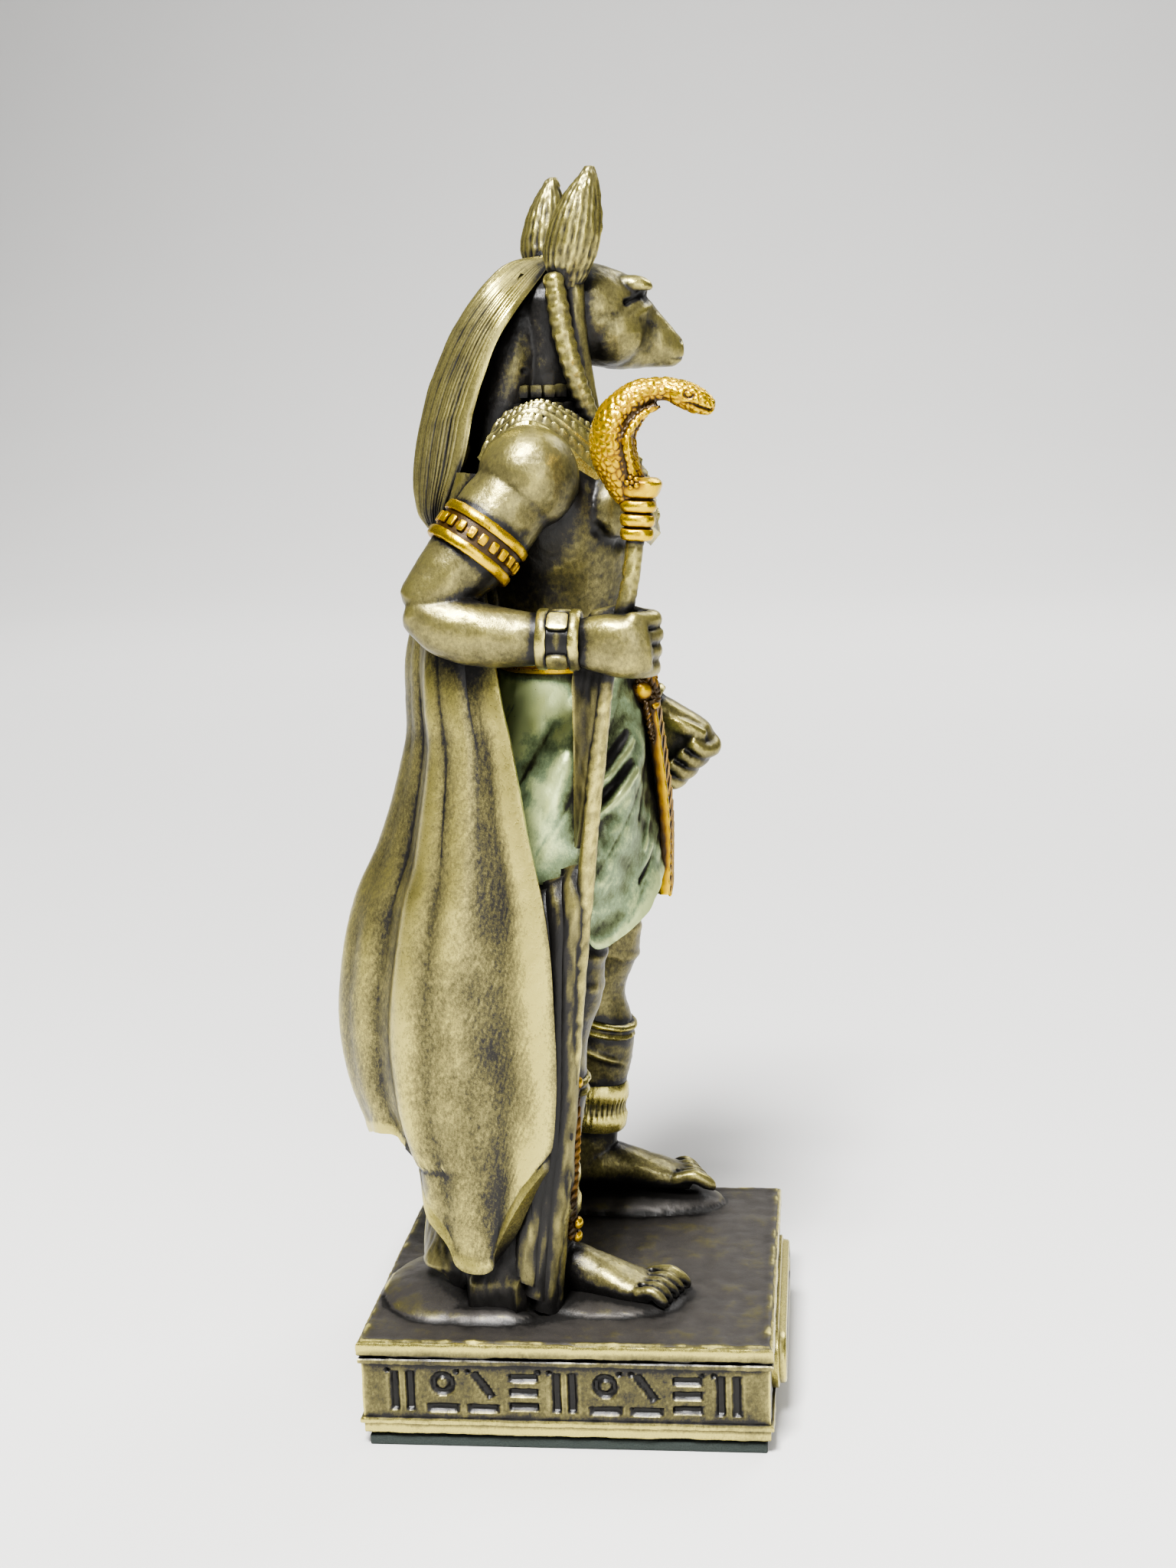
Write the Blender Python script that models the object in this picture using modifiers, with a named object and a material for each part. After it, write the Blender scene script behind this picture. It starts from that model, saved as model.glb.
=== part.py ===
"""Jackal-headed figurine in cold-cast resin, on a square plinth with a felt pad under it.

The figure faces -Y and holds the staff on its right side, which is -X. The origin is the middle of the
felt's underside. The figure, cape, staff, mounds and plinth are one casting.

Free form is written in figure units, which are millimetres when the figure is 85.3 mm tall: x across,
y towards the back and h up from the plinth's top.
"""
import math

import bmesh
import bpy
import numpy as np
from mathutils import Euler, Matrix, Vector

# Driving dimensions in metres
FIGURE_HEIGHT = 0.0853
PLINTH_SIDE = 0.0310
PLINTH_HEIGHT = 0.0074
SLAB_THICKNESS = 0.0011
SLAB_OVERHANG = 0.0003
GROOVE_HEIGHT = 0.0002
GROOVE_DEPTH = 0.0004
BORDER_HEIGHT = 0.0004
BORDER_RELIEF = 0.00025
FOOT_BAND_HEIGHT = 0.0009
EDGE_ROUNDING = 0.0002
STROKE_DEPTH = 0.0003
STROKE_MARGIN = 0.0018
STROKE_COUNT = 9
PLAQUE_LENGTH = 0.0215
PLAQUE_RELIEF = 0.0011
FELT_THICKNESS = 0.0008
FELT_INSET = 0.0006
GLUE_GAP = 0.0003
STAFF_DIAMETER = 0.0013
CAPE_THICKNESS = 0.0011
WIG_THICKNESS = 0.0022
WIG_STRIPES = 12
CLOTH_THICKNESS = 0.0010

# Sculpting grain of the figure, and the share of its facets that stays
FIGURE_GRAIN = 0.00020
FIGURE_KEEP = 0.0107

UNIT = FIGURE_HEIGHT / 85.3
PLINTH_BOTTOM = FELT_THICKNESS + GLUE_GAP
PLINTH_TOP = PLINTH_BOTTOM + PLINTH_HEIGHT
SINK = 0.5
MIDDLE = 2.4
HEAD_TURN = math.radians(15)
HEAD_PIVOT = (MIDDLE, 1.0, 0.0)


def clear_scene():
    for item in list(bpy.data.objects):
        bpy.data.objects.remove(item)


def make_collection(name):
    group = bpy.data.collections.new(name)
    bpy.context.scene.collection.children.link(group)
    return group


def make_material(name, colour, roughness, metallic):
    material = bpy.data.materials.new(name)
    material.use_nodes = True
    shader = material.node_tree.nodes["Principled BSDF"]
    shader.inputs["Base Color"].default_value = (*colour, 1.0)
    shader.inputs["Roughness"].default_value = roughness
    shader.inputs["Metallic"].default_value = metallic
    material.diffuse_color = (*colour, 1.0)
    return material


def to_object(name, shape, group, material=None):
    """Turn a bmesh in metres into an object of a collection."""
    bmesh.ops.recalc_face_normals(shape, faces=shape.faces)
    mesh = bpy.data.meshes.new(name)
    shape.to_mesh(mesh)
    shape.free()
    item = bpy.data.objects.new(name, mesh)
    group.objects.link(item)
    if material:
        mesh.materials.append(material)
    return item


def keep_as_tool(item):
    item.hide_render = True
    item.display_type = "WIRE"
    return item


def figure_space(shape):
    """Move a bmesh from figure units onto the plinth's top, in metres."""
    bmesh.ops.transform(shape, matrix=Matrix.Translation((0, 0, PLINTH_TOP)) @ Matrix.Scale(UNIT, 4),
                        verts=shape.verts)
    return shape


def smooth_curve(stations, steps):
    """Catmull-Rom curve through rows of numbers, with the given steps between two rows."""
    rows = np.array(stations, float)
    padded = np.vstack([2 * rows[0] - rows[1], rows, 2 * rows[-1] - rows[-2]])
    curve = []
    for a, b, c, d in zip(padded, padded[1:], padded[2:], padded[3:]):
        for t in np.arange(steps) / steps:
            curve.append(0.5 * (2 * b + (c - a) * t + (2 * a - 5 * b + 4 * c - d) * t ** 2
                                + (3 * b - a - 3 * c + d) * t ** 3))
    curve.append(rows[-1])
    return np.array(curve)


def along(stations, position):
    """Row of a smooth curve at a position from 0 to 1."""
    fine = smooth_curve(stations, 8)
    place = np.clip(position, 0, 1) * (len(fine) - 1)
    low = min(int(place), len(fine) - 2)
    return fine[low] + (fine[low + 1] - fine[low]) * (place - low)


def at_height(stations, height):
    """Values of rows (height, value, ...) read at a height, straight between rows."""
    rows = np.array(sorted(stations), float)
    return np.array([np.interp(height, rows[:, 0], rows[:, k]) for k in range(1, rows.shape[1])])


def skin(shape, rings):
    """Closed body through rings with equal point counts, each end closed by a fan."""
    loops = [[shape.verts.new(point) for point in ring] for ring in rings]
    count = len(loops[0])
    made = []
    for low, high in zip(loops, loops[1:]):
        for k in range(count):
            made.append(shape.faces.new((low[k], low[(k + 1) % count], high[(k + 1) % count], high[k])))
    for loop in (loops[0], loops[-1]):
        middle = shape.verts.new(sum((v.co for v in loop), Vector()) / count)
        for k in range(count):
            made.append(shape.faces.new((loop[k], loop[(k + 1) % count], middle)))
    bmesh.ops.recalc_face_normals(shape, faces=made)
    return [v for loop in loops for v in loop]


def section(sides, square=2.0):
    """Points of a unit superellipse; 2 is round and higher values are squarer."""
    turn = np.arange(sides) * 2 * math.pi / sides
    power = 2.0 / square
    across = np.sign(np.cos(turn)) * np.abs(np.cos(turn)) ** power
    deep = np.sign(np.sin(turn)) * np.abs(np.sin(turn)) ** power
    return across, deep


def sweep(shape, stations, steps=3, sides=12, square=2.0, facing=None, dome=0.6, across_axis=(1, 0, 0)):
    """Limb through stations (x, y, h, half-width, half-depth), with domed ends.

    Rings stand square to the path, or to the given facing direction.
    """
    rows = smooth_curve(stations, steps)
    path, widths = rows[:, :3], np.abs(rows[:, 3:5])
    tangents = np.gradient(path, axis=0)
    if facing is not None:
        tangents[:] = facing
    tangents /= np.linalg.norm(tangents, axis=1)[:, None]
    across, deep = section(sides, square)
    rings = []
    for point, tangent, (width, depth) in zip(path, tangents, widths):
        side = np.array(across_axis, float)
        side -= side.dot(tangent) * tangent
        side /= np.linalg.norm(side)
        other = np.cross(tangent, side)
        rings.append(point + np.outer(across * width, side) + np.outer(deep * depth, other))
    for end, tangent, order in ((0, -tangents[0], 1), (-1, tangents[-1], -1)) if dome else ():
        middle, reach = path[end], dome * widths[end].min()
        caps = [middle + (rings[end] - middle) * math.cos(a) + tangent * reach * math.sin(a)
                for a in (math.radians(65), math.radians(35))]
        rings = (caps + rings) if order == 1 else (rings + caps[::-1])
    return skin(shape, rings)


def ball(shape, centre, radii, turn=(0, 0, 0), fine=12):
    """Ellipsoid in figure units, turned by degrees about x, y and z."""
    rotation = Euler([math.radians(a) for a in turn]).to_matrix().to_4x4()
    matrix = Matrix.Translation(centre) @ rotation @ Matrix.Diagonal((*radii, 1))
    return bmesh.ops.create_uvsphere(shape, u_segments=fine, v_segments=fine * 2 // 3, radius=1,
                                     matrix=matrix)["verts"]


def both_sides(build, shape, *values, **named):
    """Build a form on each side of the figure's middle; the form takes side -1 or 1 first."""
    for side in (-1, 1):
        build(shape, side, *values, **named)


def turn_head(shape, verts):
    bmesh.ops.rotate(shape, verts=verts, cent=HEAD_PIVOT, matrix=Matrix.Rotation(HEAD_TURN, 3, "Z"))


def shell(shape, surface, across, down, thickness):
    """Closed sheet from surface(u, v), u and v from 0 to 1, given its thickness inwards."""
    grid = np.array([[surface(i / across, j / down) for i in range(across + 1)] for j in range(down + 1)])
    along_u = np.gradient(grid, axis=1)
    along_v = np.gradient(grid, axis=0)
    normal = np.cross(along_u, along_v)
    normal /= np.linalg.norm(normal, axis=2)[:, :, None] + 1e-12
    inner = grid + normal * thickness
    outside = [[shape.verts.new(p) for p in row] for row in grid]
    inside = [[shape.verts.new(p) for p in row] for row in inner]
    made = []
    for j in range(down):
        for i in range(across):
            a, b, c, d = outside[j][i], outside[j][i + 1], outside[j + 1][i + 1], outside[j + 1][i]
            made.append(shape.faces.new((a, b, c, d)))
            a, b, c, d = inside[j][i], inside[j][i + 1], inside[j + 1][i + 1], inside[j + 1][i]
            made.append(shape.faces.new((d, c, b, a)))
    rim = ([(0, i) for i in range(across)] + [(j, across) for j in range(down)]
           + [(down, i) for i in range(across, 0, -1)] + [(j, 0) for j in range(down, 0, -1)])
    for (j, i), (m, n) in zip(rim, rim[1:] + rim[:1]):
        made.append(shape.faces.new((outside[j][i], inside[j][i], inside[m][n], outside[m][n])))
    bmesh.ops.recalc_face_normals(shape, faces=made)


# Body: head, ears, neck, torso, limbs and feet, all blended into each other

def add_head(shape):
    start = len(shape.verts)
    profile = [(-1.0, 74.6, 3.3, 3.6), (-2.6, 74.5, 3.6, 3.8), (-4.4, 74.1, 3.3, 3.75), (-6.2, 73.6, 2.6, 3.3),
               (-7.2, 72.9, 1.95, 2.65), (-8.1, 72.3, 1.55, 2.1), (-8.9, 71.8, 1.3, 1.6), (-9.5, 71.6, 0.85, 1.0)]
    sweep(shape, [(MIDDLE, y, h, wide, tall) for y, h, wide, tall in profile], sides=16, square=2.2,
          facing=(0, -1, 0), dome=0.3)
    ball(shape, (MIDDLE, -9.2, 72.5), (0.85, 0.7, 0.6))
    both_sides(add_face_side, shape)
    both_sides(add_ear, shape)
    both_sides(add_lappet, shape)
    shape.verts.ensure_lookup_table()
    turn_head(shape, shape.verts[start:])


def add_face_side(shape, side):
    ball(shape, (MIDDLE + side * 1.9, -4.5, 73.0), (2.0, 2.2, 2.3))
    ball(shape, (MIDDLE + side * 1.7, -5.9, 76.3), (1.2, 1.2, 0.9), turn=(12, 0, side * 20))
    ball(shape, (MIDDLE + side * 2.0, -6.1, 75.4), (0.75, 0.9, 0.5))


def add_ear(shape, side):
    lean = -0.7 if side < 0 else 0.9
    stations = [(MIDDLE + side * 3.2, -0.6, 76.4, 0.8, 1.0), (MIDDLE + side * 3.6, -0.6 + lean * 0.3, 78.2, 1.5, 1.9),
                (MIDDLE + side * 3.9, -0.8 + lean * 0.6, 80.2, 1.5, 2.05),
                (MIDDLE + side * 4.0, -1.2 + lean * 0.8, 82.6, 1.1, 1.5),
                (MIDDLE + side * 3.9, -1.7 + lean, 84.4, 0.5, 0.6)]
    sweep(shape, stations, sides=14, facing=(0, 0, 1), dome=0.9)


def add_lappet(shape, side):
    outer = [(MIDDLE + side * 3.9, 0.5, 77.0, 0.9, 0.8), (MIDDLE + side * 4.4, 0.1, 73.5, 0.7, 0.8),
             (MIDDLE + side * 4.6, -0.7, 70.0, 0.6, 0.75), (MIDDLE + side * 4.3, -1.7, 67.2, 0.6, 0.7),
             (MIDDLE + side * 3.7, -2.7, 65.0, 0.6, 0.6)]
    sweep(shape, outer, sides=10)
    inner = [(MIDDLE + side * 3.2, -0.9, 76.6, 0.9, 0.9), (MIDDLE + side * 3.0, -1.2, 72.0, 0.8, 0.9),
             (MIDDLE + side * 2.6, -1.9, 68.0, 0.8, 0.8), (MIDDLE + side * 2.2, -2.7, 65.4, 0.7, 0.6)]
    sweep(shape, inner, sides=10)


def add_torso(shape):
    neck = [(MIDDLE, 1.9, 63.0, 3.8, 3.6), (MIDDLE, 1.5, 67.0, 3.1, 2.9), (MIDDLE, 0.9, 71.0, 3.1, 3.1),
            (MIDDLE, 0.4, 74.5, 3.2, 3.2)]
    sweep(shape, neck, sides=16)
    trunk = [(40.0, 0.3, 7.2, 5.4), (45.0, 0.1, 6.5, 4.9), (49.0, -0.1, 6.0, 4.7), (53.0, -0.2, 6.5, 5.2),
             (57.0, -0.2, 7.6, 5.7), (60.5, 0.1, 8.2, 5.9), (63.5, 0.8, 7.6, 5.0), (65.6, 1.3, 5.4, 3.6)]
    sweep(shape, [(MIDDLE, y, h, wide, deep) for h, y, wide, deep in trunk], sides=20, square=2.3,
          facing=(0, 0, 1), dome=0.3)
    ball(shape, (MIDDLE, 2.4, 65.0), (6.6, 2.6, 2.3))
    both_sides(add_chest_side, shape)


def add_chest_side(shape, side):
    ball(shape, (MIDDLE + side * 3.7, -4.1, 60.4), (3.9, 2.2, 3.0), turn=(0, side * 12, 0))
    for row, height in enumerate((55.6, 52.6, 49.6)):
        ball(shape, (MIDDLE + side * 1.5, -4.3 + 0.2 * row, height), (1.5, 0.9, 1.4))


def add_shoulder(shape, side):
    ball(shape, (MIDDLE + side * 8.1, 1.3, 62.8), (3.5, 3.7, 3.8))


def add_right_arm(shape):
    upper = [(-5.8, 1.6, 62.4, 3.0, 3.1), (-7.0, 3.6, 60.0, 2.9, 3.2), (-7.9, 5.1, 58.0, 2.8, 3.1),
             (-8.8, 7.0, 56.0, 2.4, 2.6), (-9.5, 8.7, 54.2, 1.9, 2.1)]
    sweep(shape, upper, sides=14)
    lower = [(-9.6, 8.9, 53.8, 1.8, 1.9), (-9.9, 6.9, 52.6, 2.1, 2.3), (-10.0, 4.2, 51.9, 2.1, 2.3),
             (-10.0, 1.2, 51.6, 1.8, 1.95), (-10.0, -2.4, 51.4, 1.4, 1.55)]
    sweep(shape, lower, sides=14)
    palm = [(-10.0, -2.4, 51.4, 1.4, 1.6), (-10.3, -4.2, 51.2, 1.7, 2.1), (-10.3, -6.0, 51.0, 1.8, 2.3),
            (-10.1, -7.2, 51.1, 1.5, 2.1)]
    sweep(shape, palm, sides=14, square=2.8, dome=0.3)
    for knuckle, height in enumerate((52.7, 51.6, 50.5, 49.4)):
        reach = -0.1 * abs(knuckle - 1)
        finger = [(-10.6, -7.1 - reach, height, 0.6, 0.6), (-9.3, -7.7 - reach, height, 0.6, 0.6),
                  (-8.0, -7.0 - reach, height, 0.6, 0.6), (-7.8, -5.7, height, 0.6, 0.6)]
        sweep(shape, finger, steps=2, sides=8, across_axis=(0, 0, 1))
    sweep(shape, [(-9.2, -3.6, 52.7, 0.8, 0.7), (-8.3, -5.4, 53.1, 0.7, 0.6), (-8.6, -7.0, 52.9, 0.6, 0.6)],
          steps=2, sides=8, across_axis=(0, 0, 1))


def add_left_arm(shape):
    upper = [(10.6, 1.6, 62.4, 3.0, 3.1), (12.0, 2.2, 59.2, 2.8, 3.1), (12.9, 3.0, 55.6, 2.4, 2.7),
             (13.3, 3.4, 51.6, 2.0, 2.2)]
    sweep(shape, upper, sides=14)
    lower = [(13.3, 3.4, 51.2, 1.8, 2.0), (13.6, 0.6, 48.3, 2.1, 2.3), (13.8, -2.4, 45.4, 1.9, 2.1),
             (13.9, -5.6, 42.6, 1.5, 1.6)]
    sweep(shape, lower, sides=14)
    palm = [(13.9, -5.6, 42.6, 1.5, 1.6), (14.1, -7.2, 40.9, 1.9, 2.2), (14.2, -8.6, 39.6, 1.9, 2.4),
            (14.1, -9.4, 38.9, 1.6, 1.9)]
    sweep(shape, palm, sides=14, square=2.6, dome=0.3)
    for knuckle in range(4):
        top = np.array((0.0, -10.1 + 0.9 * knuckle, 40.0 - 0.85 * knuckle))
        finger = [(14.9, *(top[1:]), 0.65, 0.65), (13.8, *(top[1:] + (-0.5, -0.6)), 0.65, 0.65),
                  (12.6, *(top[1:] + (0.2, -0.8)), 0.6, 0.6), (12.2, *(top[1:] + (1.2, 0.0)), 0.6, 0.6)]
        sweep(shape, finger, steps=2, sides=8, across_axis=(0, 0, 1))
    sweep(shape, [(13.0, -6.4, 42.0, 0.8, 0.7), (12.4, -8.2, 41.3, 0.7, 0.6), (12.7, -9.7, 40.6, 0.6, 0.6)],
          steps=2, sides=8, across_axis=(0, 0, 1))


def add_legs(shape):
    right = [(-1.8, 0.2, 41.0, 3.8, 4.4), (-3.9, -0.2, 34.0, 3.3, 3.8), (-5.9, -0.3, 27.6, 2.7, 2.9),
             (-6.3, -0.3, 24.6, 2.4, 2.6), (-6.4, 0.6, 21.0, 2.2, 2.3), (-6.4, 1.4, 16.5, 2.5, 2.8),
             (-6.2, 1.7, 10.0, 1.8, 2.0), (-6.0, 1.9, 5.0, 1.5, 1.8), (-5.8, 2.2, 1.6, 1.6, 1.9)]
    sweep(shape, right, sides=14)
    left = [(6.6, 0.0, 41.0, 3.8, 4.4), (8.8, -0.6, 34.0, 3.3, 3.8), (11.0, -1.3, 27.0, 2.7, 2.9),
            (11.5, -1.5, 23.6, 2.5, 2.7), (11.7, -0.4, 19.6, 2.2, 2.4), (11.9, -0.1, 15.2, 2.6, 3.3),
            (12.0, 0.3, 10.6, 2.1, 2.8), (12.1, 0.5, 7.0, 1.7, 2.3), (12.1, 1.0, 3.6, 1.7, 2.2)]
    sweep(shape, left, sides=14)
    right_foot = [(-5.3, 3.2, 1.3, 1.5, 1.4), (-5.8, 0.8, 2.0, 1.7, 2.0), (-6.4, -1.8, 1.6, 1.9, 1.7),
                  (-7.0, -4.4, 1.1, 2.2, 1.25)]
    add_foot(shape, right_foot, toe_line=((-9.0, -5.0), (-5.4, -5.7)), tip_line=((-9.4, -7.2), (-5.7, -8.7)))
    left_foot = [(12.0, 2.8, 2.6, 1.6, 1.5), (12.1, 0.2, 3.5, 1.8, 2.2), (12.2, -2.6, 3.1, 1.9, 1.8),
                 (12.2, -5.6, 2.6, 2.2, 1.25)]
    add_foot(shape, left_foot, toe_line=((14.2, -6.3), (10.6, -6.6)), tip_line=((14.4, -8.4), (10.7, -9.9)),
             lift=1.4)
    ball(shape, (12.2, -2.6, 0.2), (3.2, 7.6, 1.7))
    ball(shape, (-7.0, -2.6, -0.1), (3.6, 5.6, 0.9))


def add_foot(shape, stations, toe_line, tip_line, lift=0.0):
    """Foot along stations, with five toes between an outer and an inner line."""
    sweep(shape, stations, sides=14, dome=0.5)
    for toe in range(5):
        share = toe / 4
        root = np.array(toe_line[0]) * (1 - share) + np.array(toe_line[1]) * share
        tip = np.array(tip_line[0]) * (1 - share) + np.array(tip_line[1]) * share
        thick = 0.5 + 0.14 * (toe == 4)
        arch = [(*root, 1.2 + lift, thick, thick), (*(root * 0.55 + tip * 0.45), 1.5 + lift, thick, thick),
                (*tip, 0.5 + lift, thick * 0.7, thick * 0.8)]
        sweep(shape, arch, steps=3, sides=8)


def add_body(shape):
    add_head(shape)
    add_torso(shape)
    both_sides(add_shoulder, shape)
    add_right_arm(shape)
    add_left_arm(shape)
    add_legs(shape)


# Dress: wig, collar, cape, kilt and bands

WIG_CENTRE = [(0.2, 78.9), (2.9, 78.5), (4.9, 76.9), (7.3, 73.7), (9.2, 69.8), (10.2, 66.4), (10.8, 62.9),
              (10.5, 60.2), (9.6, 59.0)]
WIG_RIM = [(1.2, 0.2, 78.3), (2.2, 0.9, 77.4), (4.4, 2.7, 75.0), (5.3, 3.9, 72.9), (5.9, 4.8, 70.2),
           (6.4, 5.4, 67.5), (6.9, 6.1, 64.2), (7.0, 7.2, 61.5), (6.8, 7.9, 59.8)]


def wig_surface(u, v):
    """Hair swept over the back of the head; u from rim to rim, v from crown to hem."""
    around = (u * 2 - 1) * math.pi / 2
    rear, top = along(WIG_CENTRE, v)
    half, rim_y, rim_h = along(WIG_RIM, v)
    fall = math.cos(around) ** 0.8 if abs(u - 0.5) < 0.4999 else 0.0
    stripe = abs(math.sin(u * WIG_STRIPES * math.pi))
    relief = 0.5 * stripe * min(1.0, v * 3 + 0.2)
    x = half * math.sin(around) * (1 + relief / 8)
    y = rim_y + (rear - rim_y) * fall + relief * max(fall, 0.2)
    turn = HEAD_TURN * max(0.0, 1 - v * 1.6)
    y_local, pivot = y - HEAD_PIVOT[1], HEAD_PIVOT[1]
    return (MIDDLE + x * math.cos(turn) - y_local * math.sin(turn),
            pivot + x * math.sin(turn) + y_local * math.cos(turn),
            rim_h + (top - rim_h) * fall)


def add_wig(shape):
    shell(shape, wig_surface, WIG_STRIPES * 4, 24, -WIG_THICKNESS / UNIT)


COLLAR_INNER = [(-4.0, 2.4, 67.3), (-4.0, 0.4, 67.2), (-3.1, -1.9, 66.3), (-1.6, -3.0, 65.3), (0.0, -3.4, 65.0)]
COLLAR_OUTER = [(-7.0, 5.2, 63.8), (-7.1, 1.3, 66.3), (-6.2, -3.2, 62.3), (-3.4, -6.3, 58.6), (0.0, -6.9, 57.4)]


def collar_surface(u, v):
    """Broad collar from behind one shoulder over the chest to the other; v from neck to edge."""
    side = -1 if u < 0.5 else 1
    share = 1 - abs(u * 2 - 1)
    inner, outer = along(COLLAR_INNER, share), along(COLLAR_OUTER, share)
    point = inner + (outer - inner) * v
    swell = math.sin(v * math.pi) * 0.9
    return MIDDLE - side * point[0], point[1] - swell * share, point[2] + swell


def add_collar(shape):
    shell(shape, collar_surface, 28, 6, -CLOTH_THICKNESS / UNIT * 1.4)


CAPE_FRONT = [(63.0, -5.4, 4.6), (56.0, -7.0, 4.6), (47.7, -8.6, 3.6), (43.5, -9.0, 2.8), (37.7, -9.4, 2.0),
              (31.7, -9.8, 0.9), (25.7, -10.1, 0.4), (16.5, -10.5, 0.6), (9.0, -10.8, 1.8), (0.0, -11.0, 3.0)]
CAPE_REAR = [(63.0, 6.6), (56.0, 9.0), (49.8, 10.6), (46.1, 10.8), (42.4, 11.0), (35.0, 13.2), (30.6, 15.3),
             (25.5, 16.7), (20.9, 17.2), (15.7, 16.6), (12.1, 15.2), (10.4, 14.2)]
CAPE_HEM = [(0.00, 12.0), (0.03, 7.2), (0.06, 4.7), (0.10, 3.7), (0.15, 4.2), (0.19, 6.0), (0.235, 8.8),
            (0.27, 11.0), (0.31, 12.3), (0.36, 12.6), (0.42, 12.0), (0.52, 10.6), (0.64, 9.2), (0.76, 6.3),
            (0.88, 3.2), (1.00, 1.0)]
CAPE_FOLDS = [(0.01, 0.4, 0.02), (0.065, -0.6, 0.035), (0.125, 0.45, 0.03), (0.195, 0.75, 0.035),
              (0.29, -1.0, 0.055), (0.42, 0.75, 0.06), (0.53, -0.5, 0.04), (0.62, 0.7, 0.05), (0.71, -0.8, 0.05),
              (0.80, 0.8, 0.04), (0.88, -0.6, 0.04), (0.95, 0.5, 0.03)]


def cape_surface(u, v):
    """Cape from its right front edge round the back to its left one; v from shoulders to hem."""
    hem = at_height(CAPE_HEM, u)[0]
    h = 63.0 + (hem - 63.0) * v
    near_x, near_y = at_height(CAPE_FRONT, h)
    rear = at_height(CAPE_REAR, h)[0]
    half = MIDDLE - near_x
    around = (u * 2 - 1) * math.pi / 2
    fall = max(math.cos(around), 0.0) ** 0.84
    grow = min(1.0, max(0.0, (66.0 - h) / 34.0))
    fold = sum(height * math.exp(-((u - place) / width) ** 2) for place, height, width in CAPE_FOLDS) * grow
    tuck = 1.0 - 0.16 * max(0.0, (16.0 - h) / 16.0) ** 1.5 * fall
    x = math.copysign(abs(math.sin(around)) ** 0.85, around) * half
    y = near_y + (rear - near_y) * fall * tuck
    centre_y = near_y + (rear - near_y) * 0.3
    away = Vector((x, y - centre_y))
    away.normalize()
    return MIDDLE + x + away.x * fold, y + away.y * fold, h


def add_cape(shape):
    shell(shape, cape_surface, 90, 40, CAPE_THICKNESS / UNIT)


KILT_SIZES = [(27.0, 9.6, 6.3), (33.0, 9.7, 6.4), (36.0, 9.3, 6.4), (40.0, 8.5, 6.2), (44.0, 7.3, 5.7),
              (46.6, 6.6, 5.2)]
KILT_TOP = 46.6
KILT_HEM = 32.8
WRAP_HEM = [(6, 32.8), (20, 31.8), (36, 30.0), (52, 28.6), (66, 27.9), (74, 28.8)]


def kilt_point(angle, h, lift):
    """Point of the kilt at an angle from the front, positive towards the right side."""
    wide, deep = at_height(KILT_SIZES, h)
    turn = math.radians(angle)
    share = min(1.0, (KILT_TOP + 1 - h) / 8)
    fold = 0.32 * share * math.sin(math.radians(angle * 7) + h * 0.55)
    return (MIDDLE - (wide + lift + fold) * math.sin(turn), 0.1 - (deep + lift + fold) * math.cos(turn), h)


def add_kilt(shape):
    rings = [[Vector(kilt_point(360 * k / 72, KILT_TOP + (KILT_HEM - KILT_TOP) * j / 14, 0.0)) for k in range(72)]
             for j in range(15)]
    skin(shape, rings)
    both_sides(add_wrap, shape)


def add_wrap(shape, side):
    """Front flap of the kilt, whose lower edge drops towards the side of the thigh."""
    def surface(u, v):
        angle = 6 + 68 * u
        low = at_height(WRAP_HEM, angle)[0]
        top = KILT_TOP - 0.6
        x, y, h = kilt_point(angle, top + (low - top) * v, 0.55 + 0.35 * v)
        return MIDDLE + side * (MIDDLE - x), y, h
    shell(shape, surface, 20, 14, side * CLOTH_THICKNESS / UNIT * 1.2)


def add_belt(shape):
    belt = [(MIDDLE, 0.1, 45.4, 7.1, 5.6), (MIDDLE, 0.1, 46.2, 7.3, 5.8), (MIDDLE, 0.1, 47.0, 6.9, 5.4)]
    sweep(shape, belt, steps=1, sides=24, facing=(0, 0, 1), dome=0)
    ball(shape, (1.0, -5.9, 46.1), (1.3, 0.9, 1.0), turn=(0, 25, 0), fine=8)
    ball(shape, (1.6, -6.3, 44.6), (1.0, 0.8, 1.2), turn=(0, -20, 0), fine=8)


def add_sash(shape):
    """Stiff hanging panel in front, with a raised edge down each long side."""
    drop = [(MIDDLE, -6.2, 44.8, 1.7, 0.45), (MIDDLE, -6.7, 37.0, 1.9, 0.5), (MIDDLE, -6.5, 30.2, 2.1, 0.5)]
    sweep(shape, drop, steps=1, sides=8, square=6, dome=0)
    for side in (-1, 1):
        edge = [(x + side * wide, y - 0.2, h, 0.35, 0.45) for x, y, h, wide, deep in drop]
        sweep(shape, edge, steps=1, sides=6, dome=0)


def add_band(shape, start, end, radii, rim=0.2):
    """Ring of metal round a limb, with a rim along each edge."""
    first, last = np.array(start, float), np.array(end, float)
    rows = [(*(first + (last - first) * share), radii[0] + lift, radii[1] + lift)
            for share, lift in ((0.0, rim), (0.24, rim), (0.25, 0.0), (0.75, 0.0), (0.76, rim), (1.0, rim))]
    sweep(shape, rows, steps=1, sides=12, dome=0)


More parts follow.
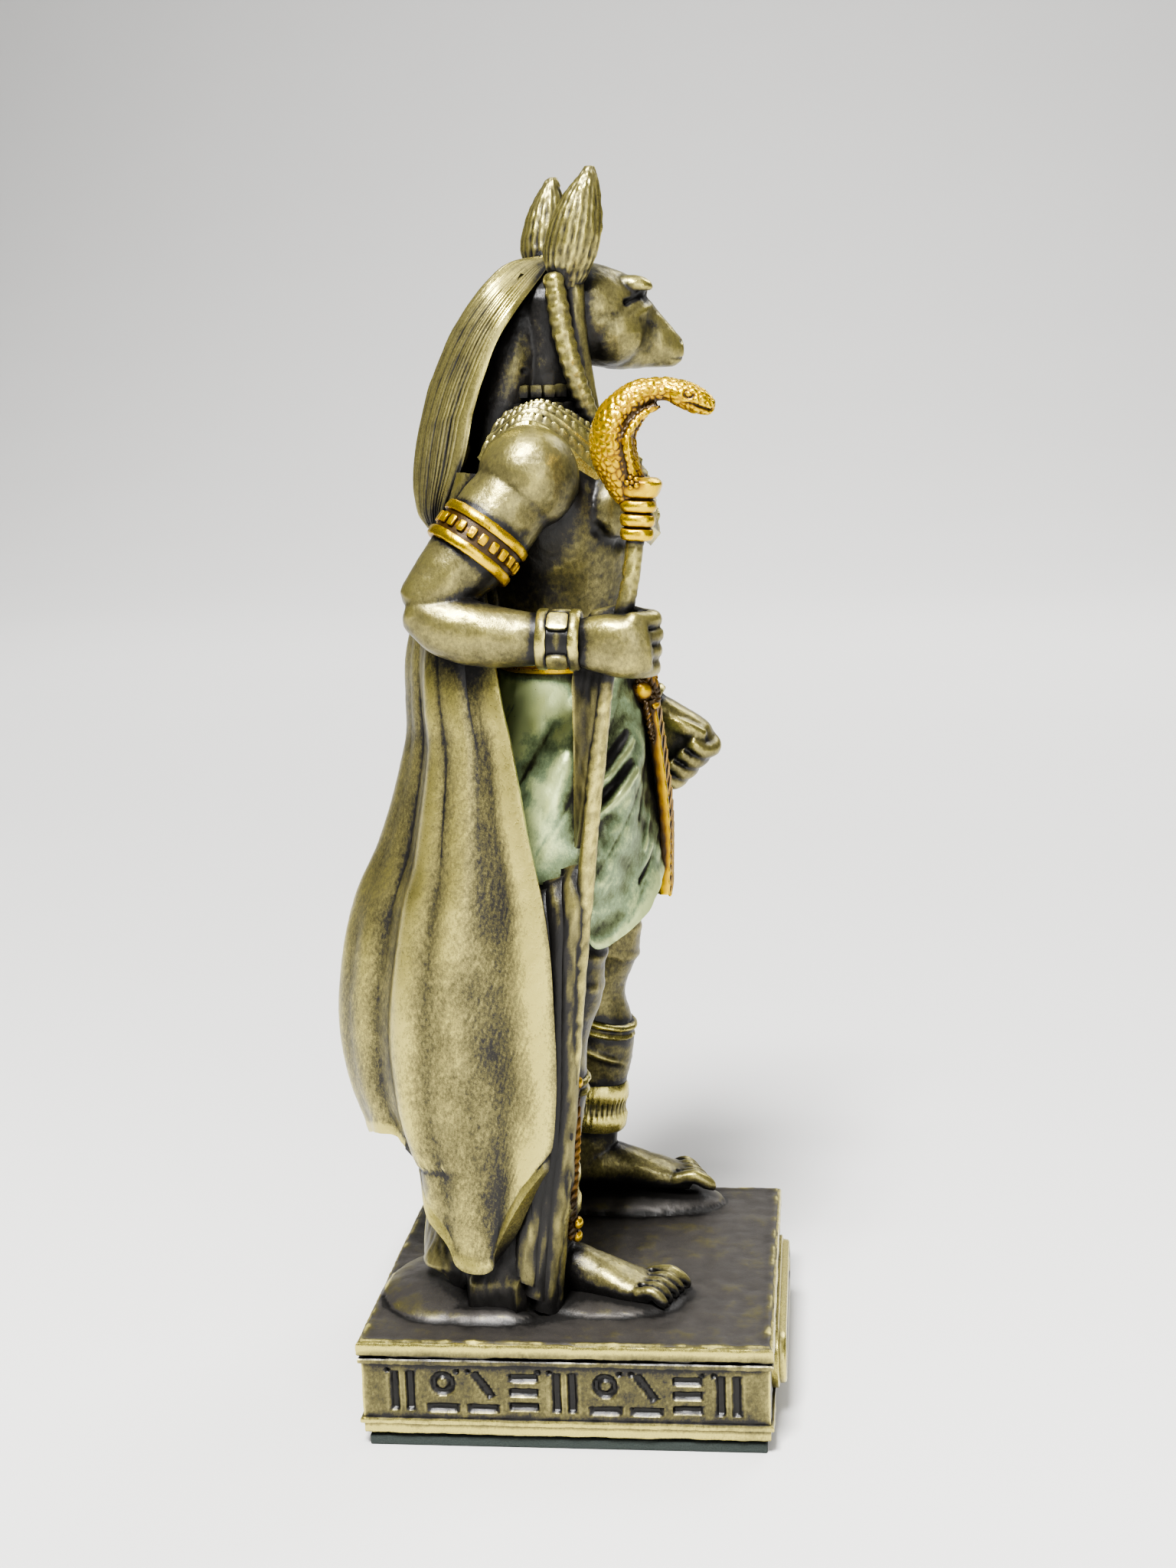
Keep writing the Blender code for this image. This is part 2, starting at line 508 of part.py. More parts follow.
def add_bands(shape):
    add_band(shape, (-7.35, 4.05, 59.5), (-8.2, 5.75, 57.2), (3.1, 3.3))
    add_band(shape, (-10.0, 0.5, 51.6), (-10.0, -2.6, 51.45), (1.95, 2.05), rim=0.1)
    add_band(shape, (12.3, 2.5, 58.2), (12.75, 2.95, 55.6), (2.9, 3.2))
    add_band(shape, (13.85, -3.3, 44.6), (13.95, -5.4, 42.8), (1.8, 1.95), rim=0.1)
    add_band(shape, (11.95, 0.1, 11.2), (12.05, 0.5, 7.0), (2.15, 2.75), rim=0.25)
    add_band(shape, (11.75, -0.5, 17.2), (11.85, -0.1, 15.9), (2.6, 3.2), rim=0.2)
    add_band(shape, (-6.3, 1.7, 10.8), (-6.1, 1.8, 6.6), (2.0, 2.2), rim=0.25)
    add_band(shape, (-6.45, 1.2, 18.2), (-6.4, 1.4, 16.8), (2.6, 2.8), rim=0.2)


STAFF_PATH = [(-9.5, 1.4, -SINK), (-9.5, -1.5, 27.0), (-9.5, -4.2, 48.5), (-9.5, -5.4, 52.5), (-9.5, -6.2, 55.5),
              (-9.5, -6.8, 59.5)]


def add_staff(shape):
    radius = STAFF_DIAMETER / 2 / UNIT
    sweep(shape, [(*point, radius, radius) for point in STAFF_PATH], steps=1, sides=8, dome=0)
    rings = [(58.4, 1.0), (58.6, 1.15), (59.2, 1.15), (59.4, 0.95), (59.6, 1.2), (60.2, 1.2), (60.4, 1.0),
             (60.6, 1.25), (61.2, 1.25), (61.4, 1.05), (61.7, 1.45), (62.4, 1.55), (62.8, 1.2)]
    rows = [(-9.5, -6.75 - (h - 58.4) * 0.08, h, wide, wide) for h, wide in rings]
    sweep(shape, rows, steps=1, sides=10, dome=0)


def add_serpent(shape):
    """Rearing serpent on the staff: broad hood behind, head bent forward and down."""
    spine = [(-9.5, -6.6, 61.6, 1.2, 1.4), (-9.5, -5.9, 63.2, 1.7, 1.7), (-9.5, -5.3, 65.0, 2.0, 1.75),
             (-9.5, -5.7, 66.9, 1.8, 1.6), (-9.5, -7.2, 68.3, 1.35, 1.4), (-9.5, -8.9, 68.6, 1.0, 1.15),
             (-9.5, -10.2, 68.3, 1.05, 1.0), (-9.5, -11.3, 67.8, 0.9, 0.85), (-9.5, -12.1, 67.4, 0.5, 0.5)]
    sweep(shape, spine, steps=2, sides=10, dome=0.6)


def staff_y(h):
    return np.interp(h, [p[2] for p in STAFF_PATH], [p[1] for p in STAFF_PATH])


def side_panel_surface(u, v):
    """Fluted cloth between the cape's right edge and the staff."""
    low = 3.8 * (1 - u) - SINK * u
    top = 31.6 + 3.4 * u
    h = top + (low - top) * v
    near_x, near_y = at_height(CAPE_FRONT, h)
    x = near_x + 0.9 + (-9.2 - near_x - 0.9) * u - 0.35 * math.cos(u * 6 * math.pi)
    return x, near_y + 1.2 + (staff_y(h) + 0.2 - near_y - 1.2) * u, h


def web_surface(u, v):
    """Thin fin behind the staff, from the fist's underside down to the kilt's hem."""
    h = 49.5 + (36.0 - 49.5) * v
    return -8.2 - 0.9 * u, staff_y(h) + (2.2 - 1.9 * v) * (1 - u), h


def trailing_hem_surface(u, v):
    """Second layer of the cape's hem, which drops behind the first one and meets the ground."""
    low = at_height([(0.0, 3.0), (0.3, 2.6), (0.42, 2.2), (0.5, 0.8), (0.58, 1.8), (0.68, -SINK), (1.0, -SINK)],
                    u)[0]
    top = 10.5 - 3.5 * u
    h = top + (low - top) * v
    flare = v ** 2
    return (-3.0 - 6.8 * math.sin(u * math.pi / 2) - 1.6 * flare * u,
            13.0 - 9.2 * u ** 1.4 - 3.2 * (1 - v) ** 1.2 + 0.4 * math.sin(u * 9), h)


def add_cloth_details(shape):
    shell(shape, side_panel_surface, 36, 16, -CLOTH_THICKNESS / UNIT)
    shell(shape, trailing_hem_surface, 24, 12, CLOTH_THICKNESS / UNIT)
    shell(shape, web_surface, 2, 6, -CLOTH_THICKNESS / UNIT)


def add_ground(shape):
    """Low rough mounds on the plinth, and the hem that lies along its edge."""
    ball(shape, (-5.6, 10.0, -0.2), (6.0, 4.8, 1.5))
    sweep(shape, [(-9.6, 10.4, 0.4, 0.9, 0.8), (-10.6, 8.0, 0.9, 0.8, 0.9), (-11.2, 5.6, 0.5, 0.8, 0.7),
                  (-11.4, 3.6, 0.0, 0.6, 0.4)], steps=2, sides=8)


def largest_body(shape):
    """Delete every separate piece of a mesh but the one with the most points."""
    left, pieces = set(shape.verts), []
    while left:
        piece, edge = set(), {left.pop()}
        while edge:
            piece |= edge
            edge = {e.other_vert(v) for v in edge for e in v.link_edges} - piece
        left -= piece
        pieces.append(piece)
    pieces.sort(key=len)
    for piece in pieces[:-1]:
        bmesh.ops.delete(shape, geom=list(piece), context="VERTS")


def make_figure(group):
    """All the sculpted forms, blended into one body and thinned to flat facets."""
    shape = bmesh.new()
    for add in (add_body, add_kilt, add_cape, add_wig, add_collar, add_bands, add_belt, add_sash, add_staff,
                add_serpent, add_cloth_details, add_ground):
        add(shape)
    figure = keep_as_tool(to_object("figure_form", figure_space(shape), group))
    blend = figure.modifiers.new("blend", "REMESH")
    blend.mode = "VOXEL"
    blend.voxel_size = FIGURE_GRAIN
    soften = figure.modifiers.new("soften", "SMOOTH")
    soften.factor = 0.4
    soften.iterations = 2
    seen = figure.evaluated_get(bpy.context.evaluated_depsgraph_get())
    blended = bmesh.new()
    blended.from_mesh(seen.data)
    largest_body(blended)
    figure.modifiers.clear()
    blended.to_mesh(figure.data)
    blended.free()
    thin = figure.modifiers.new("thin", "DECIMATE")
    thin.ratio = FIGURE_KEEP
    return figure


# Plinth and felt

def plinth_profile():
    """Half-side and height of each level of the plinth, from its underside to its top."""
    slab = PLINTH_SIDE / 2
    block = slab - SLAB_OVERHANG
    raised = block + BORDER_RELIEF
    low = PLINTH_BOTTOM
    band = low + FOOT_BAND_HEIGHT
    groove = PLINTH_TOP - SLAB_THICKNESS - GROOVE_HEIGHT
    return [(block - EDGE_ROUNDING, low), (block, low + EDGE_ROUNDING), (block, band), (raised, band),
            (raised, band + BORDER_HEIGHT), (block, band + BORDER_HEIGHT),
            (block, groove - BORDER_HEIGHT), (raised, groove - BORDER_HEIGHT), (raised, groove),
            (block - GROOVE_DEPTH, groove), (block - GROOVE_DEPTH, groove + GROOVE_HEIGHT),
            (slab, groove + GROOVE_HEIGHT), (slab, PLINTH_TOP - EDGE_ROUNDING),
            (slab - EDGE_ROUNDING, PLINTH_TOP)]


def panel_span():
    """Lowest and highest z of the plain field between the plinth's borders."""
    levels = [z for half, z in plinth_profile()]
    return levels[5], levels[6]


def box(shape, centre, size, roll=0.0):
    matrix = Matrix.Translation(centre) @ Matrix.Rotation(roll, 4, "X") @ Matrix.Diagonal((*size, 1))
    bmesh.ops.create_cube(shape, size=1, matrix=matrix)


def disc(shape, centre, radius, depth, sides=10):
    matrix = Matrix.Translation(centre) @ Matrix.Rotation(math.pi / 2, 4, "Y")
    bmesh.ops.create_cone(shape, cap_ends=True, segments=sides, radius1=radius, radius2=radius, depth=depth,
                          matrix=matrix)


def add_strokes(shape, side):
    """Row of shallow strokes, discs and bars along one side of the plinth."""
    low, high = panel_span()
    tall = high - low
    middle = (low + high) / 2
    face = side * (PLINTH_SIDE / 2 - SLAB_OVERHANG)
    pitch = (PLINTH_SIDE - 2 * STROKE_MARGIN) / STROKE_COUNT
    depth = 2 * STROKE_DEPTH
    for index in range(STROKE_COUNT):
        y = -PLINTH_SIDE / 2 + STROKE_MARGIN + pitch * (index + 0.5)
        kind = index % 4
        if kind == 0:
            for shift in (-0.2, 0.2):
                box(shape, (face, y + shift * pitch, middle), (depth, 0.2 * pitch, 0.7 * tall))
        elif kind == 1:
            disc(shape, (face, y, middle + 0.14 * tall), 0.3 * pitch, depth)
            box(shape, (face, y, middle - 0.3 * tall), (depth, 0.75 * pitch, 0.12 * tall))
        elif kind == 2:
            box(shape, (face, y, middle + 0.12 * tall), (depth, 0.18 * pitch, 0.5 * tall), roll=side * 0.6)
            box(shape, (face, y, middle - 0.3 * tall), (depth, 0.75 * pitch, 0.12 * tall))
        else:
            for lift in (0.26, 0.0, -0.26):
                box(shape, (face, y, middle + lift * tall), (depth, 0.7 * pitch, 0.12 * tall))


def stadium(length, tall, arc=5):
    """Outline of a tablet with round ends, in x and z."""
    radius = tall / 2
    points = []
    for end in (1, -1):
        for k in range(arc + 1):
            turn = end * math.pi / 2 - k * math.pi / arc
            points.append((end * (length / 2 - radius) + radius * math.cos(turn), radius * math.sin(turn)))
    return points


def add_plaque(shape):
    """Raised bare tablet on the plinth's front, with a step round it."""
    low, high = panel_span()
    middle = (low + high) / 2
    front = -(PLINTH_SIDE / 2 - SLAB_OVERHANG)
    rings = []
    for inset, y in ((0.0, front + GROOVE_DEPTH), (0.0, front - PLAQUE_RELIEF * 0.5),
                     (EDGE_ROUNDING, front - PLAQUE_RELIEF * 0.5), (2 * EDGE_ROUNDING, front - PLAQUE_RELIEF)):
        outline = stadium(PLAQUE_LENGTH - 2 * inset, high - low + BORDER_HEIGHT - 2 * inset)
        rings.append([Vector((x, y, middle + z)) for x, z in outline])
    skin(shape, rings)


def make_plinth(parts, tools, material):
    shape = bmesh.new()
    skin(shape, [[Vector((sx * half, sy * half, z)) for sx, sy in ((1, 1), (-1, 1), (-1, -1), (1, -1))]
                 for half, z in plinth_profile()])
    casting = to_object("anubis_casting", shape, parts, material)
    strokes = bmesh.new()
    both_sides(add_strokes, strokes)
    cutter = keep_as_tool(to_object("stroke_cutters", strokes, tools))
    cut = casting.modifiers.new("strokes", "BOOLEAN")
    cut.operation = "DIFFERENCE"
    cut.object = cutter
    plaque = bmesh.new()
    add_plaque(plaque)
    join(casting, keep_as_tool(to_object("plaque_form", plaque, tools)))
    return casting


def join(casting, form):
    union = casting.modifiers.new(form.name, "BOOLEAN")
    union.operation = "UNION"
    union.object = form


def make_felt(parts, material):
    shape = bmesh.new()
    side = PLINTH_SIDE - 2 * FELT_INSET
    box(shape, (0, 0, FELT_THICKNESS / 2), (side, side, FELT_THICKNESS))
    return to_object("felt_pad", shape, parts, material)


def build():
    clear_scene()
    parts = make_collection("anubis_statue")
    tools = make_collection("casting_forms")
    bronze = make_material("antique_bronze", (0.36, 0.31, 0.19), 0.42, 0.75)
    felt = make_material("dark_felt", (0.02, 0.03, 0.025), 0.95, 0.0)
    casting = make_plinth(parts, tools, bronze)
    join(casting, make_figure(tools))
    make_felt(parts, felt)


build()
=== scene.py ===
"""Looks of the jackal-headed figurine: sculpted pieces, an antique bronze finish and the stage.

Free form is written in figure units, which are millimetres when the figure is 85.3 mm tall: x across,
y towards the back and h up from the plinth's top.
"""
import math

import bpy
import numpy as np
from mathutils import Euler, Matrix, Vector, noise
from mathutils.bvhtree import BVHTree


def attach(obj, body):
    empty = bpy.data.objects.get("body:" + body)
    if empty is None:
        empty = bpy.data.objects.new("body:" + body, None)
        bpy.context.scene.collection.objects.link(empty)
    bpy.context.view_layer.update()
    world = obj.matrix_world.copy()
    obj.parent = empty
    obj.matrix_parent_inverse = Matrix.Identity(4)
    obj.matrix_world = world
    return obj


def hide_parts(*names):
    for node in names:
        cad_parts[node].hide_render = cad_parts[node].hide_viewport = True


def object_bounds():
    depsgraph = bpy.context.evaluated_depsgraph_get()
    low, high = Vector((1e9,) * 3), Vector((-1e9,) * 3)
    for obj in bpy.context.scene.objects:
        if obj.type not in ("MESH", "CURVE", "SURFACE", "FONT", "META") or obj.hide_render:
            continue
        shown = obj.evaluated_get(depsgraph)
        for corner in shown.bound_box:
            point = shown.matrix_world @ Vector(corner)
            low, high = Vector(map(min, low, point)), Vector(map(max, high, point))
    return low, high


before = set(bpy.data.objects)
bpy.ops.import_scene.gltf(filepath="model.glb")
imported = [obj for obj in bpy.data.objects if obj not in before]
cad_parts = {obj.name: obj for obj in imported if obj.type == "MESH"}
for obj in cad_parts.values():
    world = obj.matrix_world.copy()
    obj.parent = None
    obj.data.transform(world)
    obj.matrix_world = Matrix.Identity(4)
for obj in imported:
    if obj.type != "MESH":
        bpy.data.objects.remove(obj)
CAD_BOX = [[float(value) for value in corner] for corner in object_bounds()]

bl_info = {
    "name": "Jackal-headed figurine",
    "version": (1, 0, 0),
    "blender": (4, 5, 0),
    "location": "View3D > Sidebar > Figurine",
    "description": "Builds the looks of a cold-cast figurine round its solids",
    "category": "Add Mesh",
}

CASTING = "anubis_casting"
FELT = "felt_pad"
MIDDLE = 2.4
SINK = 0.5
HEAD_TURN = math.radians(15)
HEAD_PIVOT = (MIDDLE, 1.0)
FIGURE_UNITS = 85.3
TAU = 2 * math.pi


def length_setting(name, description, default):
    return bpy.props.FloatProperty(name=name, description=description, default=default, subtype="DISTANCE",
                                   unit="LENGTH", precision=4)


def colour_setting(name, description, default):
    return bpy.props.FloatVectorProperty(name=name, description=description, default=default,
                                         subtype="COLOR",
                                         size=3, min=0.0, max=1.0)


class FigurineSizes(bpy.types.PropertyGroup):
    """Sizes that the pieces are built from."""

    figure_height: length_setting("Figure height", "From the plinth's top to the ear tips", 0.0853)
    plinth_side: length_setting("Plinth side", "Side of the square plinth at its upper slab", 0.031)
    plinth_height: length_setting("Plinth height", "Height of the cast plinth", 0.0074)
    felt_thickness: length_setting("Felt", "Thickness of the felt under the plinth", 0.0008)
    glue_gap: length_setting("Glue gap", "Glue layer between felt and plinth", 0.0003)
    cape_thickness: length_setting("Cape", "Thickness of the cast cape", 0.0011)
    staff_diameter: length_setting("Staff", "Diameter of the staff", 0.0013)
    wig_strands: bpy.props.IntProperty(
        name="Wig strands", description="Fine strands from rim to rim of the wig", default=52)
    stroke_depth: length_setting("Stroke depth", "Depth of the strokes on the plinth's sides", 0.0003)


class FigurineColours(bpy.types.PropertyGroup):
    """Colours of the finishes."""

    patina: colour_setting("Patina", "Dark patina in the hollows", (0.010, 0.009, 0.008))
    bronze: colour_setting("Bronze", "Antique bronze of the broad faces", (0.145, 0.128, 0.052))
    brass: colour_setting("Rubbed brass", "Rubbed metal on the high places", (0.82, 0.72, 0.23))
    gold: colour_setting("Gold paint", "Paint on the serpent and jewellery", (0.92, 0.60, 0.015))
    verdigris: colour_setting("Verdigris", "Pale green paint on the kilt", (0.22, 0.29, 0.16))
    felt: colour_setting("Felt", "Felt under the plinth", (0.012, 0.016, 0.014))
    floor: colour_setting("Floor", "Floor of the stage", (0.72, 0.71, 0.69))


def sizes():
    return bpy.context.scene.figurine_sizes


def colours():
    return bpy.context.scene.figurine_colours


def unit():
    """Metres in one figure unit."""
    return sizes().figure_height / FIGURE_UNITS


def top_level():
    """Height of the plinth's top, in metres."""
    chosen = sizes()
    return chosen.felt_thickness + chosen.glue_gap + chosen.plinth_height


# Curves and forms in figure units

def smooth_curve(stations, steps):
    """Catmull-Rom curve through rows of numbers, with the given steps between two rows."""
    rows = np.array(stations, float)
    padded = np.vstack([2 * rows[0] - rows[1], rows, 2 * rows[-1] - rows[-2]])
    t = (np.arange(steps) / steps)[:, None]
    curve = [0.5 * (2 * b + (c - a) * t + (2 * a - 5 * b + 4 * c - d) * t ** 2 + (3 * b - a - 3 * c + d)
                    * t ** 3)
             for a, b, c, d in zip(padded, padded[1:], padded[2:], padded[3:])]
    return np.vstack(curve + [rows[-1:]])


def along(stations, place):
    """Columns of a smooth curve at places from 0 to 1."""
    fine = smooth_curve(stations, 8)
    index = np.clip(place, 0, 1) * (len(fine) - 1)
    return [np.interp(index, np.arange(len(fine)), column) for column in fine.T]


def at_height(stations, height):
    """Values of rows (height, value, ...) read smoothly at some heights."""
    fine = smooth_curve(sorted(stations), 8)
    return [np.interp(height, fine[:, 0], column) for column in fine.T[1:]]


def section(sides, square=2.0):
    """Points of a unit superellipse; 2 is round and higher values are squarer."""
    turn = np.arange(sides) * TAU / sides
    power = 2.0 / square
    return (np.sign(np.cos(turn)) * np.abs(np.cos(turn)) ** power,
            np.sign(np.sin(turn)) * np.abs(np.sin(turn)) ** power)


def unit_rows(rows):
    return rows / (np.linalg.norm(rows, axis=-1, keepdims=True) + 1e-12)


class Form:
    """Points in figure units and the faces between them, before they become a piece."""

    def __init__(self):
        self.points = np.zeros((0, 3))
        self.faces = []

    def add(self, points, faces):
        """Add one closed body, with its faces turned outwards."""
        start = len(self.points)
        self.points = np.vstack([self.points, points])
        corners = [np.array([face for face in faces if len(face) == sides]) for sides in (3, 4)]
        triangles = [part[:, pick] for part, picks in zip(corners, (((0, 1, 2),), ((0, 1, 2), (0, 2, 3))))
                     if len(part) for pick in picks]
        volume = sum((points[t[:, 0]] * np.cross(points[t[:, 1]],
                                                 points[t[:, 2]])).sum() for t in triangles)
        step = -1 if volume < 0 else 1
        self.faces += [[start + k for k in face[::step]] for face in faces]

    def skin(self, rings):
        """Closed body through rings with equal point counts, each end closed by a fan."""
        rings = np.asarray(rings, float)
        count, sides = rings.shape[:2]
        low, k = np.meshgrid(np.arange(count - 1), np.arange(sides), indexing="ij")
        turn = (k + 1) % sides
        quads = np.stack([low * sides + k, low * sides + turn, (low + 1) * sides + turn, (low + 1) * sides
                          + k], -1)
        faces = quads.reshape(-1, 4).tolist()
        last = (count - 1) * sides
        for k in range(sides):
            faces.append([(k + 1) % sides, k, count * sides])
            faces.append([last + k, last + (k + 1) % sides, count * sides + 1])
        self.add(np.vstack([rings.reshape(-1, 3), rings[0].mean(0), rings[-1].mean(0)]), faces)

    def sweep(self, stations, steps=6, sides=24, square=2.0, facing=None, dome=0.6, across_axis=(1, 0, 0),
              ripple=None):
        """Limb through stations (x, y, h, half-width, half-depth), with domed ends."""
        rows = smooth_curve(stations, steps)
        path, widths = rows[:, :3], np.abs(rows[:, 3:5])
        if ripple:
            waves, height = ripple
            widths = widths * (1 + height * np.sin(np.linspace(0, waves * TAU, len(rows))))[:, None]
        tangents = np.gradient(path, axis=0)
        if facing is not None:
            tangents[:] = facing
        tangents = unit_rows(tangents)
        side = np.array(across_axis, float) - (tangents @ np.array(across_axis, float))[:, None] * tangents
        side = unit_rows(side)
        other = np.cross(tangents, side)
        across, deep = section(sides, square)
        rings = (path[:, None] + across[None, :, None] * (widths[:, :1] * side)[:, None]
                 + deep[None, :, None] * (widths[:, 1:] * other)[:, None])
        if dome:
            turns = np.radians((75, 50, 25))
            start, end = rings[:1], rings[-1:]
            first = [path[0] + (start - path[0]) * math.cos(a) - tangents[0] * dome * widths[0].min()
                     * math.sin(a)
                     for a in turns]
            last = [path[-1] + (end - path[-1]) * math.cos(a) + tangents[-1] * dome * widths[-1].min()
                    * math.sin(a)
                    for a in turns[::-1]]
            rings = np.concatenate(first + [rings] + last)
        self.skin(rings)

    def ball(self, centre, radii, turn=(0, 0, 0), fine=24, square=2.0):
        """Ellipsoid, or a rounded block when it is squarer, turned by degrees about x, y and z."""
        across, deep = section(fine, square)
        tilt = np.radians(np.linspace(-86, 86, fine // 2 + 1))
        power = 2.0 / square
        ring = np.abs(np.cos(tilt)) ** power
        lift = np.sign(np.sin(tilt)) * np.abs(np.sin(tilt)) ** power
        rings = np.stack([ring[:, None] * across, ring[:, None] * deep, np.repeat(lift[:, None], fine, 1)],
                         -1)
        rotation = np.array(Euler([math.radians(a) for a in turn]).to_matrix())
        self.skin((rings * radii) @ rotation.T + np.array(centre, float))

    def shell(self, surface, across, down, thickness):
        """Closed sheet from surface(u, v), given its thickness along its normal."""
        v, u = np.meshgrid(np.linspace(0, 1, down + 1), np.linspace(0, 1, across + 1), indexing="ij")
        grid = np.stack(np.broadcast_arrays(*surface(u, v)), -1)
        normal = unit_rows(np.cross(np.gradient(grid, axis=1), np.gradient(grid, axis=0)))
        inner = grid + normal * thickness
        wide = across + 1
        count = wide * (down + 1)
        j, i = np.meshgrid(np.arange(down), np.arange(across), indexing="ij")
        a = j * wide + i
        outer_faces = np.stack([a, a + 1, a + wide + 1, a + wide], -1).reshape(-1, 4)
        rim = ([(0, i) for i in range(across)] + [(j, across) for j in range(down)]
               + [(down, i) for i in range(across, 0, -1)] + [(j, 0) for j in range(down, 0, -1)])
        edge = [j * wide + i for j, i in rim]
        joined = [[p, p + count, q + count, q] for p, q in zip(edge, edge[1:] + edge[:1])]
        self.add(np.vstack([grid.reshape(-1, 3), inner.reshape(-1, 3)]),
                 outer_faces.tolist() + (outer_faces[:, ::-1] + count).tolist() + joined)

    def turn_head(self, start):
        """Turn the points from a start on with the head, about the neck."""
        x, y = (self.points[start:, k] - HEAD_PIVOT[k] for k in (0, 1))
        self.points[start:, 0] = HEAD_PIVOT[0] + x * math.cos(HEAD_TURN) - y * math.sin(HEAD_TURN)
        self.points[start:, 1] = HEAD_PIVOT[1] + x * math.sin(HEAD_TURN) + y * math.cos(HEAD_TURN)


def turned(points):
    """Points of the straight head, moved to where the turned head has them."""
    form = Form()
    form.points = np.array(points, float)
    form.turn_head(0)
    return form.points


# Pieces

def select_only(piece):
    bpy.ops.object.select_all(action="DESELECT")
    piece.select_set(True)
    bpy.context.view_layer.objects.active = piece


def declare(piece, finish, node=CASTING):
    piece.data.materials.clear()
    piece.data.materials.append(finish_named(finish))
    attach(piece, "root")
    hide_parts(node)


def make_piece(name, form, finish, node=CASTING, crease=40):
    """Turn a form into a piece with smooth shading and its finish, on the root body, with the solid it
    stands for hidden.
    """
    mesh = bpy.data.meshes.new(name)
    mesh.from_pydata((form.points * unit() + (0, 0, top_level())).tolist(), [], form.faces)
    piece = bpy.data.objects.new(name, mesh)
    bpy.context.scene.collection.objects.link(piece)
    select_only(piece)
    bpy.ops.object.shade_smooth_by_angle(angle=math.radians(crease))
    declare(piece, finish, node)
    return piece


def fuse(piece, grain, rounds=3):
    """Blend the overlapping forms of a piece into one skin."""
    select_only(piece)
    skin = piece.modifiers.new("skin", "REMESH")
    skin.mode = "VOXEL"
    skin.voxel_size = grain * unit()
    soft = piece.modifiers.new("soft", "SMOOTH")
    soft.factor = 0.5
    soft.iterations = rounds
    for step in (skin, soft):
        bpy.ops.object.modifier_apply(modifier=step.name)
    bpy.ops.object.shade_smooth()


def thin(piece, keep):
    """Thin a piece's facets where they say least."""
    select_only(piece)
    step = piece.modifiers.new("thin", "DECIMATE")
    step.ratio = keep
    bpy.ops.object.modifier_apply(modifier=step.name)
    bpy.ops.object.shade_smooth()


def read_points(mesh):
    """Points in figure units, and their normals."""
    count = len(mesh.vertices)
    points, normals = np.empty(count * 3, np.float32), np.empty(count * 3, np.float32)
    mesh.vertices.foreach_get("co", points)
    mesh.vertex_normals.foreach_get("vector", normals)
    points = (points.reshape(-1, 3).astype(float) - (0, 0, top_level())) / unit()
    return points, normals.reshape(-1, 3).astype(float)


def write_points(mesh, points):
    mesh.vertices.foreach_set("co", (points * unit() + (0, 0, top_level())).astype(np.float32).ravel())
    mesh.update()


def read_edges(mesh):
    """Pairs of points that an edge joins."""
    edges = np.empty(len(mesh.edges) * 2, np.int32)
    mesh.edges.foreach_get("vertices", edges)
    return edges.reshape(-1, 2)


def sculpt(piece, *strokes):
    """Move each point of a piece along its normal by the sum of some strokes."""
    points, normals = read_points(piece.data)
    move = sum(stroke(points) for stroke in strokes)
    write_points(piece.data, points + normals * move[:, None])


def groove(line, width, depth):
    """Soft furrow along a line of points; a negative depth gives a ridge."""
    path = smooth_curve(line, 3)

    def stroke(points):
        move = np.zeros(len(points))
        reach = 3 * width
        close = np.all((points > path.min(0) - reach) & (points < path.max(0) + reach), axis=1)
        chosen = points[close]
        near = np.full(len(chosen), reach ** 2)
        for a, b in zip(path, path[1:]):
            step = b - a
            place = np.clip((chosen - a) @ step / max(step @ step, 1e-9), 0, 1)
            gap = chosen - a - place[:, None] * step
            near = np.minimum(near, (gap ** 2).sum(1))
        move[close] = -depth * np.exp(-near / width ** 2)
        return move
    return stroke


def rough(size, height, seed=0.0, stretch=(1, 1, 1)):
    """Cast roughness with lumps of a size."""
    def stroke(points):
        places = points / (size * np.array(stretch, float)) + seed
        return height * np.array([noise.noise(place) for place in places.tolist()])
    return stroke


def mirrored(points, side):
    """Points given for the figure's left side, on the chosen side of its middle."""
    return [(MIDDLE + side * x, y, h) for x, y, h in points]


# Head, ears, wig and collar

